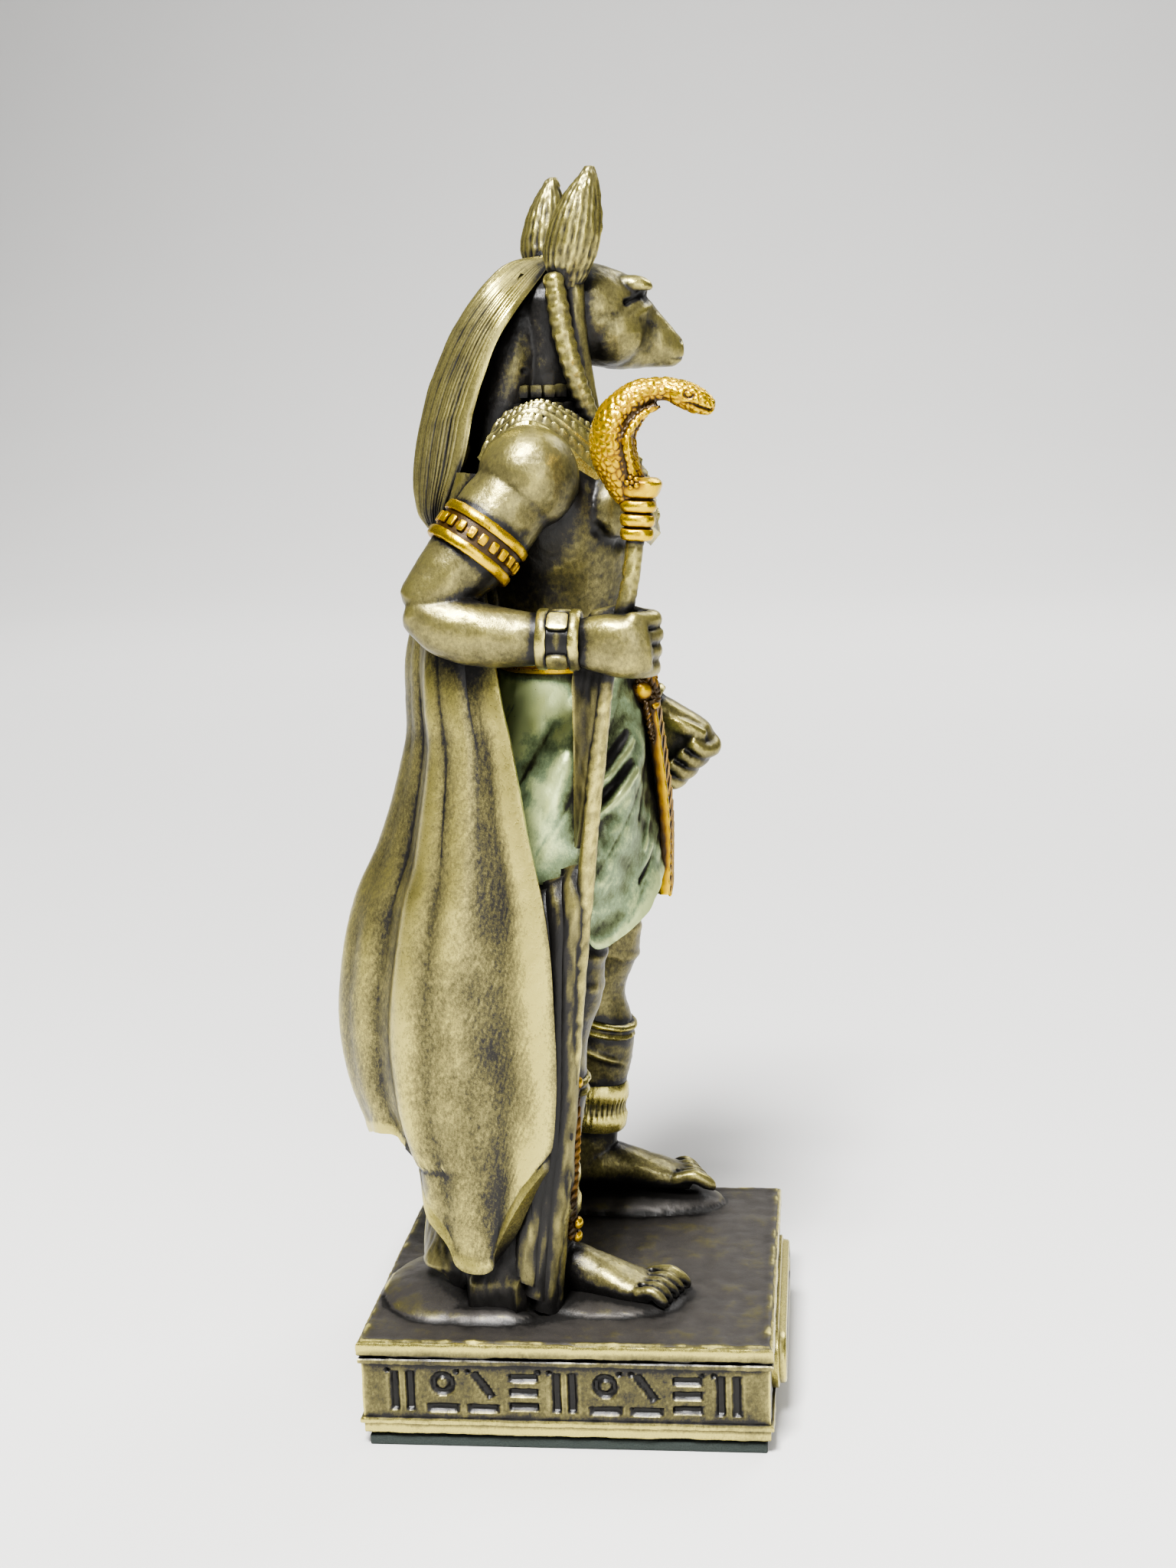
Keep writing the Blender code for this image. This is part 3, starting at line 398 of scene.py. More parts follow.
def make_head():
    form = Form()
    profile = [(-1.0, 74.6, 3.3, 3.6), (-2.6, 74.5, 3.6, 3.8), (-4.4, 74.1, 3.3, 3.75), (-6.0, 73.7, 2.6,
                                                                                         3.35),
               (-7.1, 73.0, 1.95, 2.6), (-8.1, 72.4, 1.55, 2.0), (-8.9, 71.9, 1.3, 1.5), (-9.5, 71.7, 0.9,
                                                                                          1.0)]
    form.sweep([(MIDDLE, *row) for row in profile], sides=48, square=2.2, facing=(0, -1, 0), dome=0.4)
    form.ball((MIDDLE, -8.9, 71.9), (1.15, 0.95, 1.15))
    form.ball((MIDDLE, -6.1, 76.2), (1.3, 1.1, 1.0))
    for side in (-1, 1):
        form.ball((MIDDLE + side * 1.1, -4.2, 73.0), (2.55, 2.6, 2.4))
        form.ball((MIDDLE + side * 1.6, -5.7, 76.5), (1.05, 1.6, 0.75), turn=(8, 0, side * 18))
    form.turn_head(0)
    neck = [(MIDDLE, 1.9, 62.0, 3.8, 3.6), (MIDDLE, 1.5, 67.0, 3.1, 2.9), (MIDDLE, 0.9, 71.0, 3.1, 3.1),
            (MIDDLE, 0.4, 75.5, 3.2, 3.2)]
    form.sweep(neck, sides=32)
    form.sweep([(MIDDLE, 4.6, 60.5, 5.0, 3.0), (MIDDLE, 4.4, 66.0, 4.6, 3.2), (MIDDLE, 3.2, 71.5, 4.0, 3.0),
                (MIDDLE, 1.8, 75.6, 2.8, 2.2)], sides=32)
    head = make_piece("head", form, "antique_bronze")
    fuse(head, 0.13, rounds=6)
    strokes = [rough(0.9, 0.05), rough(0.3, 0.02, 3.0)]
    for side in (-1, 1):
        for line, width, depth in (
                ([(1.3, -7.3, 75.9), (2.0, -6.7, 75.8), (2.6, -5.8, 75.5), (2.9, -5.1, 75.2)], 0.24, 0.42),
                ([(1.5, -7.3, 75.0), (2.2, -6.7, 74.7), (2.8, -5.8, 74.2)], 0.35, -0.2),
                ([(2.9, -4.9, 75.0), (3.2, -4.2, 74.4), (3.3, -3.2, 74.2)], 0.3, 0.1),
                ([(1.9, -7.3, 73.6), (2.1, -7.0, 72.8), (2.0, -6.9, 71.6)], 0.7, 0.3),
                ([(0.3, -9.8, 71.0), (0.9, -9.4, 70.9), (1.4, -8.4, 70.9), (1.7, -7.3, 71.0)], 0.14, 0.22),
                ([(0.45, -9.7, 72.4), (0.75, -9.5, 72.2)], 0.14, 0.16)):
            strokes.append(groove(turned(mirrored(line, side)), width, depth))
    for level in (68.0, 69.2, 70.4):
        strokes.append(groove([(-1.2, 2.0, level), (-0.8, 0.0, level - 0.2), (0.4, -2.2, level - 0.4)],
                              0.2, 0.2))
    sculpt(head, *strokes)
    thin(head, 0.6)


def ear_rings(side):
    """Leaf-shaped ear: hairy back and a narrow hollow along its front edge."""
    lean = -0.7 if side < 0 else 0.9
    stations = [(3.2, -0.6, 76.2, 0.8, 1.0), (3.6, -0.6 + lean * 0.3, 78.2, 1.45, 1.9),
                (3.9, -0.8 + lean * 0.6, 80.2, 1.45, 2.05), (4.0, -1.2 + lean * 0.8, 82.6, 1.05, 1.5),
                (3.95, -1.55 + lean, 84.2, 0.55, 0.7), (3.9, -1.75 + lean, 85.0, 0.16, 0.2)]
    rows = smooth_curve(stations, 16)
    share = np.linspace(0, 1, len(rows))
    turn = np.arange(72) * TAU / 72
    opening = math.radians(250)
    gap = np.abs((turn - opening + math.pi) % TAU - math.pi)
    scoop = 0.72 * np.exp(-(gap / 0.42) ** 2)
    hair = 0.035 * np.sin(turn * 21)
    rings = []
    for (x, y, h, wide, deep), place in zip(rows, share):
        depth = math.sin(min(1.0, place * 1.25) * math.pi) ** 0.5 if 0 < place < 0.8 else 0.0
        reach = 1 - scoop * depth + hair * math.sin(min(1.0, place * 1.1) * math.pi)
        rings.append(np.stack([x + np.cos(turn) * wide * reach, y + np.sin(turn) * deep * reach,
                               np.full(72, h)], -1))
    rings = np.array(rings)
    rings[:, :, 0] = MIDDLE + side * rings[:, :, 0]
    return rings


def make_ears():
    form = Form()
    for side in (-1, 1):
        form.skin(ear_rings(side))
    form.turn_head(0)
    ears = make_piece("ears", form, "antique_bronze", crease=60)
    sculpt(ears, rough(0.22, 0.07, 5.0, stretch=(1, 1, 4)), rough(0.8, 0.05, 1.0))


WIG_CENTRE = [(0.2, 78.9), (2.9, 78.5), (4.9, 76.9), (7.3, 73.7), (9.2, 69.8), (10.2, 66.4), (10.8, 62.9),
              (10.5, 60.2), (9.6, 59.0)]
WIG_RIM = [(1.2, 0.2, 78.3), (2.2, 0.9, 77.4), (4.4, 2.7, 75.0), (5.3, 3.9, 72.9), (5.9, 4.8, 70.2),
           (6.4, 5.4, 67.5), (6.9, 6.1, 64.2), (7.0, 7.2, 61.5), (6.8, 7.9, 59.8)]
WIG_THICKNESS = 1.1
WIG_LOCKS = 12


def wig_surface(u, v):
    """Hair swept over the back of the head; u from rim to rim, v from crown to hem."""
    around = (u * 2 - 1) * math.pi / 2
    rear, top = along(WIG_CENTRE, v)
    half, rim_y, rim_h = along(WIG_RIM, v)
    fall = np.where(np.abs(u - 0.5) < 0.4999, np.abs(np.cos(around)) ** 0.8, 0.0)
    grown = np.minimum(1.0, v * 3 + 0.2)
    locks = 0.18 * np.abs(np.sin(u * WIG_LOCKS * math.pi))
    drift = 0.3 * np.sin(v * 5 + u * 9)
    strands = 0.2 * np.abs(np.sin((u * sizes().wig_strands + drift) * math.pi)) ** 0.6
    strip = np.exp(-(((0.5 - np.abs(u - 0.5)) - 0.02) / 0.022) ** 2)
    relief = (locks + strands) * grown * (1 - strip) + 0.42 * strip
    x = half * np.sin(around) * (1 + relief / 8)
    y = rim_y + (rear - rim_y) * fall + relief * np.maximum(fall, 0.2)
    turn = HEAD_TURN * np.maximum(0.0, 1 - v * 1.6)
    back = y - HEAD_PIVOT[1]
    return (MIDDLE + x * np.cos(turn) - back * np.sin(turn),
            HEAD_PIVOT[1] + x * np.sin(turn) + back * np.cos(turn), rim_h + (top - rim_h) * fall)


def make_wig():
    form = Form()
    form.shell(wig_surface, 380, 56, -WIG_THICKNESS)
    # The wig takes the lighter copy of the bronze, a painted light.
    wig = make_piece("wig", form, "bright_bronze", crease=70)
    sculpt(wig, rough(0.5, 0.02, 7.0, stretch=(1, 1, 3)), rough(1.6, 0.05))


def make_lappets():
    """Narrow locks in front of the shoulders, with the strip beside each."""
    form = Form()
    for side in (-1, 1):
        outer = [(3.9, 0.5, 77.0, 0.9, 0.8), (4.4, 0.1, 73.5, 0.7, 0.8), (4.6, -0.7, 70.0, 0.6, 0.75),
                 (4.3, -1.7, 67.2, 0.6, 0.7), (3.7, -2.7, 65.0, 0.6, 0.6)]
        inner = [(3.2, -0.9, 76.6, 0.9, 0.9), (3.0, -1.2, 72.0, 0.8, 0.9), (2.6, -1.9, 68.0, 0.8, 0.8),
                 (2.2, -2.7, 65.4, 0.7, 0.6)]
        for lock, ripple in ((outer, (15, 0.05)), (inner, None)):
            rows = [(MIDDLE + side * x, y, h, wide, deep) for x, y, h, wide, deep in lock]
            form.sweep(rows, steps=24, sides=28, ripple=ripple)
    form.turn_head(0)
    lappets = make_piece("lappets", form, "antique_bronze", crease=60)
    sculpt(lappets, rough(0.3, 0.05, 2.0, stretch=(1, 1, 3)))


COLLAR_INNER = [(-4.0, 2.4, 67.3), (-4.0, 0.4, 67.2), (-3.1, -1.9, 66.3), (-1.6, -3.0, 65.3),
                (0.0, -3.4, 65.0)]
COLLAR_OUTER = [(-7.0, 5.2, 63.8), (-7.1, 1.3, 66.3), (-6.2, -3.2, 62.3), (-3.4, -6.3, 58.6),
                (0.0, -6.9, 57.4)]


def collar_surface(u, v):
    """Broad collar from behind one shoulder over the chest to the other; v from neck to edge."""
    side = np.where(u < 0.5, -1.0, 1.0)
    share = 1 - np.abs(u * 2 - 1)
    inner, outer = along(COLLAR_INNER, share), along(COLLAR_OUTER, share)
    rings = 0.16 * np.cos(v * 4 * TAU) ** 8
    rows = np.clip(np.sin(v * 4 * TAU - math.pi / 2), 0, 1)
    beads = 0.16 * rows * np.abs(np.sin(u * 62 * math.pi)) ** 0.5
    swell = np.sin(v * math.pi) * 0.9 + rings + beads
    x, y, h = (a + (b - a) * v for a, b in zip(inner, outer))
    return MIDDLE - side * x, y - (swell + 0.5) * share, h + swell + 0.4


def make_collar():
    form = Form()
    form.shell(collar_surface, 310, 44, 1.2)
    for row, (height, reach) in enumerate(((67.6, 1.0), (68.9, 0.9))):
        for k in range(22):
            turn = (k + 0.5 * (row % 2)) * TAU / 22
            centre = (MIDDLE + 3.9 * reach * math.cos(turn), 1.6 + 3.6 * reach * math.sin(turn), height)
            form.ball(centre, (0.42, 0.5, 0.52), turn=(0, 0, math.degrees(turn)), fine=8, square=4)
    # The collar takes the lighter copy of the bronze, a painted light.
    collar = make_piece("collar", form, "bright_bronze", crease=50)
    sculpt(collar, rough(0.5, 0.05, 4.0))


# Body and limbs

def make_body():
    form = Form()
    trunk = [(40.0, 0.3, 7.2, 5.4), (45.0, 0.1, 6.5, 4.9), (49.0, -0.1, 6.0, 4.7), (53.0, -0.2, 6.5, 5.2),
             (57.0, -0.2, 7.6, 5.7), (60.5, 0.1, 8.2, 5.9), (63.5, 0.8, 7.6, 5.0), (65.6, 1.3, 5.4, 3.6)]
    form.sweep([(MIDDLE, y, h, wide, deep) for h, y, wide, deep in trunk], sides=48, square=2.3,
               facing=(0, 0, 1), dome=0.3)
    form.ball((MIDDLE, 2.4, 65.0), (6.6, 2.6, 2.3))
    for side in (-1, 1):
        form.ball((MIDDLE + side * 3.7, -4.1, 60.4), (3.9, 2.2, 3.0), turn=(0, side * 12, 0))
        for row, height in enumerate((55.6, 52.6, 49.6)):
            form.ball((MIDDLE + side * 1.5, -4.3 + 0.2 * row, height), (1.5, 0.9, 1.4))
    # The torso takes the darker copy of the bronze, a painted shade.
    body = make_piece("torso", form, "dim_bronze")
    fuse(body, 0.2)
    strokes = [rough(1.4, 0.07, 2.0), rough(0.4, 0.03, 9.0),
               groove([(MIDDLE, -6.0, 63.0), (MIDDLE, -5.6, 58.4)], 0.5, 0.22)]
    for side in (-1, 1):
        strokes.append(groove(mirrored([(0.4, -5.9, 57.6), (3.6, -6.1, 57.2), (7.0, -3.6, 58.8)], side),
                              0.45, 0.35))
        for height in (54.1, 51.1):
            strokes.append(groove(mirrored([(0.7, -5.2, height), (2.0, -5.2, height + 0.25),
                                            (3.3, -4.8, height)],
                                           side), 0.35, 0.1))
    sculpt(body, *strokes)
    thin(body, 0.5)


def make_right_arm():
    """Arm, with the fist closed round the staff."""
    form = Form()
    form.ball((MIDDLE - 8.1, 1.3, 62.8), (3.5, 3.7, 3.8), fine=40)
    form.sweep([(-5.8, 1.6, 62.4, 3.0, 3.1), (-7.0, 3.6, 60.0, 2.9, 3.2), (-7.9, 5.1, 58.0, 2.8, 3.1),
                (-8.8, 7.0, 56.0, 2.4, 2.6), (-9.5, 8.7, 54.2, 1.9, 2.1)], sides=32)
    form.sweep([(-9.6, 8.9, 53.8, 1.8, 1.9), (-9.9, 6.9, 52.6, 2.1, 2.3), (-10.0, 4.2, 51.9, 2.1, 2.3),
                (-10.0, 1.2, 51.6, 1.8, 1.95), (-10.0, -2.4, 51.4, 1.4, 1.55)], sides=32)
    form.sweep([(-10.0, -2.4, 51.4, 1.4, 1.6), (-10.3, -4.2, 51.2, 1.7, 2.1), (-10.3, -6.0, 51.0, 1.8, 2.3),
                (-10.1, -7.2, 51.1, 1.5, 2.1)], sides=32, square=2.8, dome=0.3)
    strokes = [rough(1.3, 0.06, 1.0), rough(0.35, 0.02, 4.0),
               groove([(-7.6, 5.6, 61.6), (-8.9, 3.0, 59.4), (-8.6, 0.4, 58.6)], 0.5, 0.16)]
    for knuckle, height in enumerate((52.75, 51.65, 50.5, 49.35)):
        reach = -0.12 * abs(knuckle - 1)
        form.sweep([(-10.9, -6.4 - reach, height, 0.7, 0.7), (-10.2, -7.4 - reach, height, 0.72, 0.72),
                    (-9.1, -7.75 - reach, height, 0.72, 0.72), (-8.0, -6.9 - reach, height, 0.7, 0.7),
                    (-7.8, -5.7, height, 0.65, 0.65)], sides=20, across_axis=(0, 0, 1))
        if knuckle:
            gap = height + 0.57
            strokes.append(groove([(-11.6, -5.6, gap), (-10.6, -7.9, gap), (-9.1, -8.4, gap),
                                   (-7.6, -7.3, gap),
                                   (-7.4, -5.6, gap)], 0.13, 0.2))
    form.sweep([(-9.2, -3.6, 52.7, 0.8, 0.7), (-8.3, -5.4, 53.1, 0.7, 0.6), (-8.6, -7.0, 52.9, 0.6, 0.6)],
               sides=20, across_axis=(0, 0, 1))
    arm = make_piece("right_arm", form, "antique_bronze")
    fuse(arm, 0.14, rounds=8)
    sculpt(arm, *strokes)
    thin(arm, 0.55)


def make_left_arm():
    form = Form()
    form.ball((MIDDLE + 8.1, 1.3, 62.8), (3.5, 3.7, 3.8), fine=40)
    form.sweep([(10.6, 1.6, 62.4, 3.0, 3.1), (12.0, 2.2, 59.2, 2.8, 3.1), (12.9, 3.0, 55.6, 2.4, 2.7),
                (13.3, 3.4, 51.6, 2.0, 2.2)], sides=32)
    form.sweep([(13.3, 3.4, 51.2, 1.8, 2.0), (13.6, 0.6, 48.3, 2.1, 2.3), (13.8, -2.4, 45.4, 1.9, 2.1),
                (13.9, -5.6, 42.6, 1.5, 1.6)], sides=32)
    form.sweep([(13.9, -5.6, 42.6, 1.5, 1.6), (14.1, -7.2, 40.9, 1.9, 2.2), (14.2, -8.6, 39.6, 1.9, 2.4),
                (14.1, -9.4, 38.9, 1.6, 1.9)], sides=32, square=2.6, dome=0.3)
    strokes = [rough(1.3, 0.06, 6.0), rough(0.35, 0.02, 8.0)]
    for knuckle in range(4):
        y, h = -10.1 + 0.9 * knuckle, 40.0 - 0.85 * knuckle
        form.sweep([(14.9, y, h, 0.74, 0.74), (13.8, y - 0.4, h - 0.5, 0.74, 0.74),
                    (12.6, y + 0.2, h - 0.7, 0.7, 0.7), (12.2, y + 1.2, h, 0.65, 0.65)], sides=20,
                   across_axis=(0, 0, 1))
        if knuckle:
            strokes.append(groove([(15.6, y - 0.2, h + 0.9), (14.6, y - 0.9, h + 0.1), (13.6, y - 1.1, h
                                                                                        - 0.3),
                                   (12.4, y - 0.4, h - 0.4), (11.7, y + 0.8, h + 0.4)], 0.15, 0.22))
    form.sweep([(13.0, -6.4, 42.0, 0.8, 0.7), (12.4, -8.2, 41.3, 0.7, 0.6), (12.7, -9.7, 40.6, 0.6, 0.6)],
               sides=20, across_axis=(0, 0, 1))
    arm = make_piece("left_arm", form, "antique_bronze")
    fuse(arm, 0.15, rounds=8)
    sculpt(arm, *strokes)
    thin(arm, 0.55)


def add_foot(form, stations, toe_line, tip_line, lift=0.0):
    """Foot along stations, with five long toes and their claws."""
    form.sweep(stations, sides=32, dome=0.5)
    gaps = []
    for toe in range(5):
        share = toe / 4
        root = np.array(toe_line[0]) * (1 - share) + np.array(toe_line[1]) * share
        tip = np.array(tip_line[0]) * (1 - share) + np.array(tip_line[1]) * share
        thick = 0.46 + 0.14 * (toe == 4)
        joint = root * 0.5 + tip * 0.5
        form.sweep([(*root, 1.2 + lift, thick, thick), (*joint, 1.45 + lift, thick, thick * 1.05),
                    (*(root * 0.15 + tip * 0.85), 0.85 + lift, thick * 0.95, thick),
                    (*tip, 0.45 + lift, thick * 0.6, thick * 0.6)], sides=20)
        if toe:
            between = ((last_root + root) / 2, (last_tip + tip) / 2)
            gaps.append([(*(between[0] * 0.9 + between[1] * 0.1), 1.7 + lift),
                         (*(between[0] * 0.5 + between[1] * 0.5), 1.3 + lift), (*between[1], 0.6 + lift)])
        last_root, last_tip = root, tip
    return gaps


def make_legs():
    form = Form()
    right = [(-0.6, 0.2, 41.0, 3.4, 4.4), (-3.4, -0.2, 34.0, 3.3, 3.8), (-5.9, -0.3, 27.6, 2.7, 2.9),
             (-6.3, -0.3, 24.6, 2.4, 2.6), (-6.4, 0.6, 21.0, 2.2, 2.3), (-6.4, 1.4, 16.5, 2.5, 2.8),
             (-6.2, 1.7, 10.0, 1.8, 2.0), (-6.0, 1.9, 5.0, 1.5, 1.8), (-5.8, 2.2, 1.6, 1.6, 1.9)]
    left = [(5.4, 0.0, 41.0, 3.4, 4.4), (8.3, -0.6, 34.0, 3.3, 3.8), (11.0, -1.3, 27.0, 2.7, 2.9),
            (11.5, -1.5, 23.6, 2.5, 2.7), (11.7, -0.4, 19.6, 2.2, 2.4), (11.9, -0.1, 15.2, 2.6, 3.3),
            (12.0, 0.3, 10.6, 2.1, 2.8), (12.1, 0.5, 7.0, 1.7, 2.3), (12.1, 1.0, 3.6, 1.7, 2.2)]
    for leg in (right, left):
        form.sweep(leg, sides=36)
    gaps = add_foot(form, [(-5.3, 3.2, 1.3, 1.5, 1.4), (-5.8, 0.8, 2.0, 1.7, 2.0), (-6.4, -1.8, 1.6, 1.9,
                                                                                    1.7),
                           (-7.0, -4.4, 1.1, 2.2, 1.25), (-7.3, -6.2, 0.8, 2.1, 0.85)],
                    ((-9.0, -5.0), (-5.4, -5.7)), ((-9.4, -7.2), (-5.7, -8.7)))
    gaps += add_foot(form, [(12.0, 2.8, 2.6, 1.6, 1.5), (12.1, 0.2, 3.5, 1.8, 2.2), (12.2, -2.6, 3.1, 1.9,
                                                                                     1.8),
                            (12.2, -5.6, 2.6, 2.2, 1.25), (12.4, -7.6, 2.2, 2.0, 0.85)],
                     ((14.2, -6.3), (10.6, -6.6)), ((14.4, -8.4), (10.7, -9.9)), lift=1.4)
    # The legs and feet take the darker copy of the bronze, a painted shade.
    legs = make_piece("legs_and_feet", form, "dim_bronze")
    fuse(legs, 0.15)
    strokes = [rough(1.2, 0.06, 3.0), rough(0.35, 0.025, 5.0)]
    strokes += [groove(line, 0.16, 0.45) for line in gaps]
    for side, x, lean in ((-1, -6.3, 0.6), (1, 11.7, 0.0)):
        for height in (27.6, 25.2, 22.8):
            strokes.append(groove([(x - 2.7, -0.4 + lean, height + 0.5), (x - 1.2, -3.6 + lean, height
                                                                          - 0.5),
                                   (x + 1.3, -3.6 + lean, height - 0.2), (x + 2.7, -0.6 + lean, height
                                                                          + 0.8)],
                                  0.42, -0.2))
    strokes.append(groove([(9.4, 0.6, 14.5), (9.9, -2.2, 13.2), (11.8, -3.6, 12.4), (13.9, -2.2, 13.6)],
                          0.3, -0.3))
    sculpt(legs, *strokes)
    thin(legs, 0.42)


# Dress

KILT_SIZES = [(27.0, 9.6, 6.3), (33.0, 9.7, 6.4), (36.0, 9.3, 6.4), (40.0, 8.5, 6.2), (44.0, 7.3, 5.7),
              (46.6, 6.6, 5.2), (48.0, 6.3, 5.0)]
KILT_TOP = 48.7
KILT_HEM = 32.8
WRAP_HEM = [(6, 32.8), (20, 31.8), (36, 30.0), (52, 28.6), (66, 27.9), (74, 28.8)]


def kilt_point(angle, h, lift):
    """Point of the kilt at an angle from the front, positive towards the right side."""
    wide, deep = at_height(KILT_SIZES, h)
    turn = np.radians(angle)
    share = np.minimum(1.0, (KILT_TOP + 1 - h) / 8)
    fold = 0.32 * share * np.sin(np.radians(angle * 7) + h * 0.55)
    crease = 0.2 * share * np.abs(np.sin(np.radians(angle * 4) + h * 0.42)) ** 0.5
    reach = lift + fold + crease
    return (MIDDLE - (wide + reach) * np.sin(turn), 0.1 - (deep + reach) * np.cos(turn), h)


def make_kilt():
    form = Form()
    turn, level = np.meshgrid(np.linspace(0, 360, 180, endpoint=False), np.linspace(KILT_TOP, KILT_HEM, 44))
    form.skin(np.stack(kilt_point(turn, level, 0.0), -1))
    for side in (-1, 1):
        def flap(u, v, side=side):
            angle = 6 + 68 * u
            low = at_height(WRAP_HEM, angle)[0]
            top = KILT_TOP - 0.6
            hem = 0.34 * np.exp(-((1 - v) / 0.045) ** 2) + 0.22 * np.exp(-(u / 0.03) ** 2)
            lift = 0.1 + 0.45 * np.minimum(1, u * 2) + 0.35 * v + hem
            x, y, h = kilt_point(angle, top + (low - top) * v, lift)
            return MIDDLE + side * (MIDDLE - x), y, h
        form.shell(flap, 76, 64, side * 1.2)
    kilt = make_piece("kilt", form, "verdigris", crease=60)
    creases = []
    for line, width, depth in (([(38, 43.6), (60, 41.2), (86, 38.9)], 0.3, 0.5),
                               ([(36, 42.9), (58, 40.4), (84, 38.0)], 0.32, -0.4),
                               ([(40, 41.4), (62, 39.0), (86, 36.9)], 0.25, 0.45),
                               ([(38, 40.7), (60, 38.3), (84, 36.2)], 0.35, -0.35),
                               ([(14, 42.4), (22, 39.6), (32, 37.0)], 0.3, 0.35),
                               ([(9, 41.0), (18, 37.6), (30, 34.6)], 0.25, -0.3),
                               ([(8, 38.0), (20, 34.6), (36, 32.2)], 0.2, 0.3)):
        for side in (-1, 1):
            places = [kilt_point(angle, h, 0.85) for angle, h in line]
            creases.append(groove(mirrored([(MIDDLE - x, y, h) for x, y, h in places], side), width, depth))
    sculpt(kilt, rough(1.4, 0.14, 2.0), rough(0.4, 0.03, 6.0), *creases)


def rope(form, path, reach, thick, turns, strands=2, steps=8):
    """Twisted cord along a path: strands of a thickness that wind about it."""
    rows = smooth_curve(path, steps)
    tangents = unit_rows(np.gradient(rows, axis=0))
    side = unit_rows(np.cross(tangents, np.array((0.31, 0.95, 0.02))))
    other = np.cross(tangents, side)
    for strand in range(strands):
        turn = np.linspace(0, turns * TAU, len(rows)) + strand * TAU / strands
        wound = rows + reach * (np.cos(turn)[:, None] * side + np.sin(turn)[:, None] * other)
        form.sweep(np.hstack([wound, np.full((len(rows), 2), thick)]), steps=1, sides=8,
                   across_axis=(0.31, 0.95, 0.02))


SASH = [(MIDDLE, -6.4, 45.4, 1.7, 0.45), (MIDDLE, -7.2, 37.0, 1.9, 0.5), (MIDDLE, -7.1, 30.2, 2.1, 0.5)]


def make_belt():
    form = Form()
    turn = np.arange(180) * TAU / 180
    rings = []
    for h, wide, deep, bead in ((48.2, 6.6, 5.1, 0), (48.3, 6.85, 5.35, 0), (48.6, 6.85, 5.35, 0),
                                (48.7, 6.7, 5.2, 0), (48.85, 6.9, 5.4, 1), (49.2, 6.95, 5.45, 1),
                                (49.5, 6.85, 5.35, 1), (49.65, 6.65, 5.15, 0), (49.75, 6.8, 5.3, 0),
                                (50.0, 6.7, 5.2, 0), (50.1, 6.3, 4.8, 0)):
        lift = 0.14 * bead * np.abs(np.sin(turn * 24))
        rings.append(np.stack([MIDDLE + (wide + lift) * np.cos(turn), 0.1 + (deep + lift) * np.sin(turn),
                               np.full(180, h)], -1))
    form.skin(rings)
    form.ball((1.0, -5.9, 46.1), (1.3, 0.9, 1.0), turn=(0, 25, 0))
    form.ball((1.6, -6.2, 44.6), (0.9, 0.7, 1.2), turn=(0, -20, 0))
    for lift in (-0.5, 0.0, 0.5):
        rope(form, [(0.0, -5.6, 46.6 + lift), (1.0, -6.9, 46.0 + lift), (2.1, -6.3, 45.3 + lift)], 0.12,
             0.17, 4)
    rope(form, [(-1.2, -4.9, 49.2), (-0.6, -5.9, 48.0), (0.6, -6.7, 46.9), (1.3, -6.9, 45.8),
                (0.6, -6.8, 44.8)],
         0.2, 0.26, 5)
    rope(form, [(4.4, -4.9, 49.2), (3.8, -5.9, 48.0), (2.6, -6.6, 46.9), (1.6, -6.8, 45.8)], 0.2, 0.26, 4)
    rope(form, [(0.4, -6.2, 45.4), (0.2, -6.5, 43.4), (0.6, -6.7, 42.2)], 0.14, 0.17, 5)
    make_piece("belt_and_knot", form, "gold_paint", crease=50)


def make_sash():
    panel = Form()
    panel.sweep(SASH, steps=20, sides=32, square=6, dome=0)
    sculpt(make_piece("sash_panel", panel, "antique_bronze", crease=30), rough(0.4, 0.05, 3.0))
    braid = Form()
    for side in (-1, 1):
        edge = [(x + side * wide, y - 0.15, h, 0.24, 0.42) for x, y, h, wide, deep in SASH]
        braid.sweep(edge, steps=40, sides=14, square=3.5, dome=0, ripple=(13, 0.05))
    rows = smooth_curve(SASH, 40)
    for row in rows[3:-2:5]:
        x, y, h, wide, deep = row
        braid.sweep([(x - wide * 0.8, y - deep - 0.02, h - 0.5, 0.14, 0.14),
                     (x, y - deep - 0.06, h, 0.16, 0.16), (x + wide * 0.8, y - deep - 0.02, h + 0.5, 0.14,
                                                           0.14)],
                    steps=3, sides=8, across_axis=(0, 0, 1))
    make_piece("sash_braid", braid, "gold_paint", crease=50)


CAPE_FRONT = [(63.0, -5.4, 4.6), (56.0, -7.0, 4.6), (47.7, -8.6, 3.6), (43.5, -9.0, 2.8), (37.7, -9.4, 2.0),
              (31.7, -9.8, 0.9), (25.7, -10.1, 0.4), (16.5, -10.5, 0.6), (9.0, -10.8, 1.8),
              (0.0, -11.0, 3.0)]
CAPE_REAR = [(63.0, 6.6), (56.0, 9.0), (49.8, 10.6), (46.1, 10.8), (42.4, 11.0), (35.0, 13.2), (30.6, 15.3),
             (25.5, 16.7), (20.9, 17.2), (15.7, 16.6), (12.1, 15.2), (10.4, 14.2), (0.0, 13.0)]
CAPE_HEM = [(0.00, 12.0), (0.03, 7.2), (0.06, 4.7), (0.10, 3.7), (0.15, 4.2), (0.19, 6.0), (0.235, 8.8),
            (0.27, 11.0), (0.31, 12.3), (0.36, 12.6), (0.42, 12.0), (0.52, 10.6), (0.64, 9.2), (0.76, 6.3),
            (0.88, 3.2), (1.00, 1.0)]
CAPE_FOLDS = [(0.01, 0.4, 0.02), (0.065, -0.6, 0.035), (0.125, 0.45, 0.03), (0.195, 0.75, 0.035),
              (0.29, -1.0, 0.055), (0.42, 0.75, 0.06), (0.53, -0.5, 0.04), (0.62, 0.7, 0.05),
              (0.71, -0.8, 0.05),
              (0.80, 0.8, 0.04), (0.88, -0.6, 0.04), (0.95, 0.5, 0.03)]


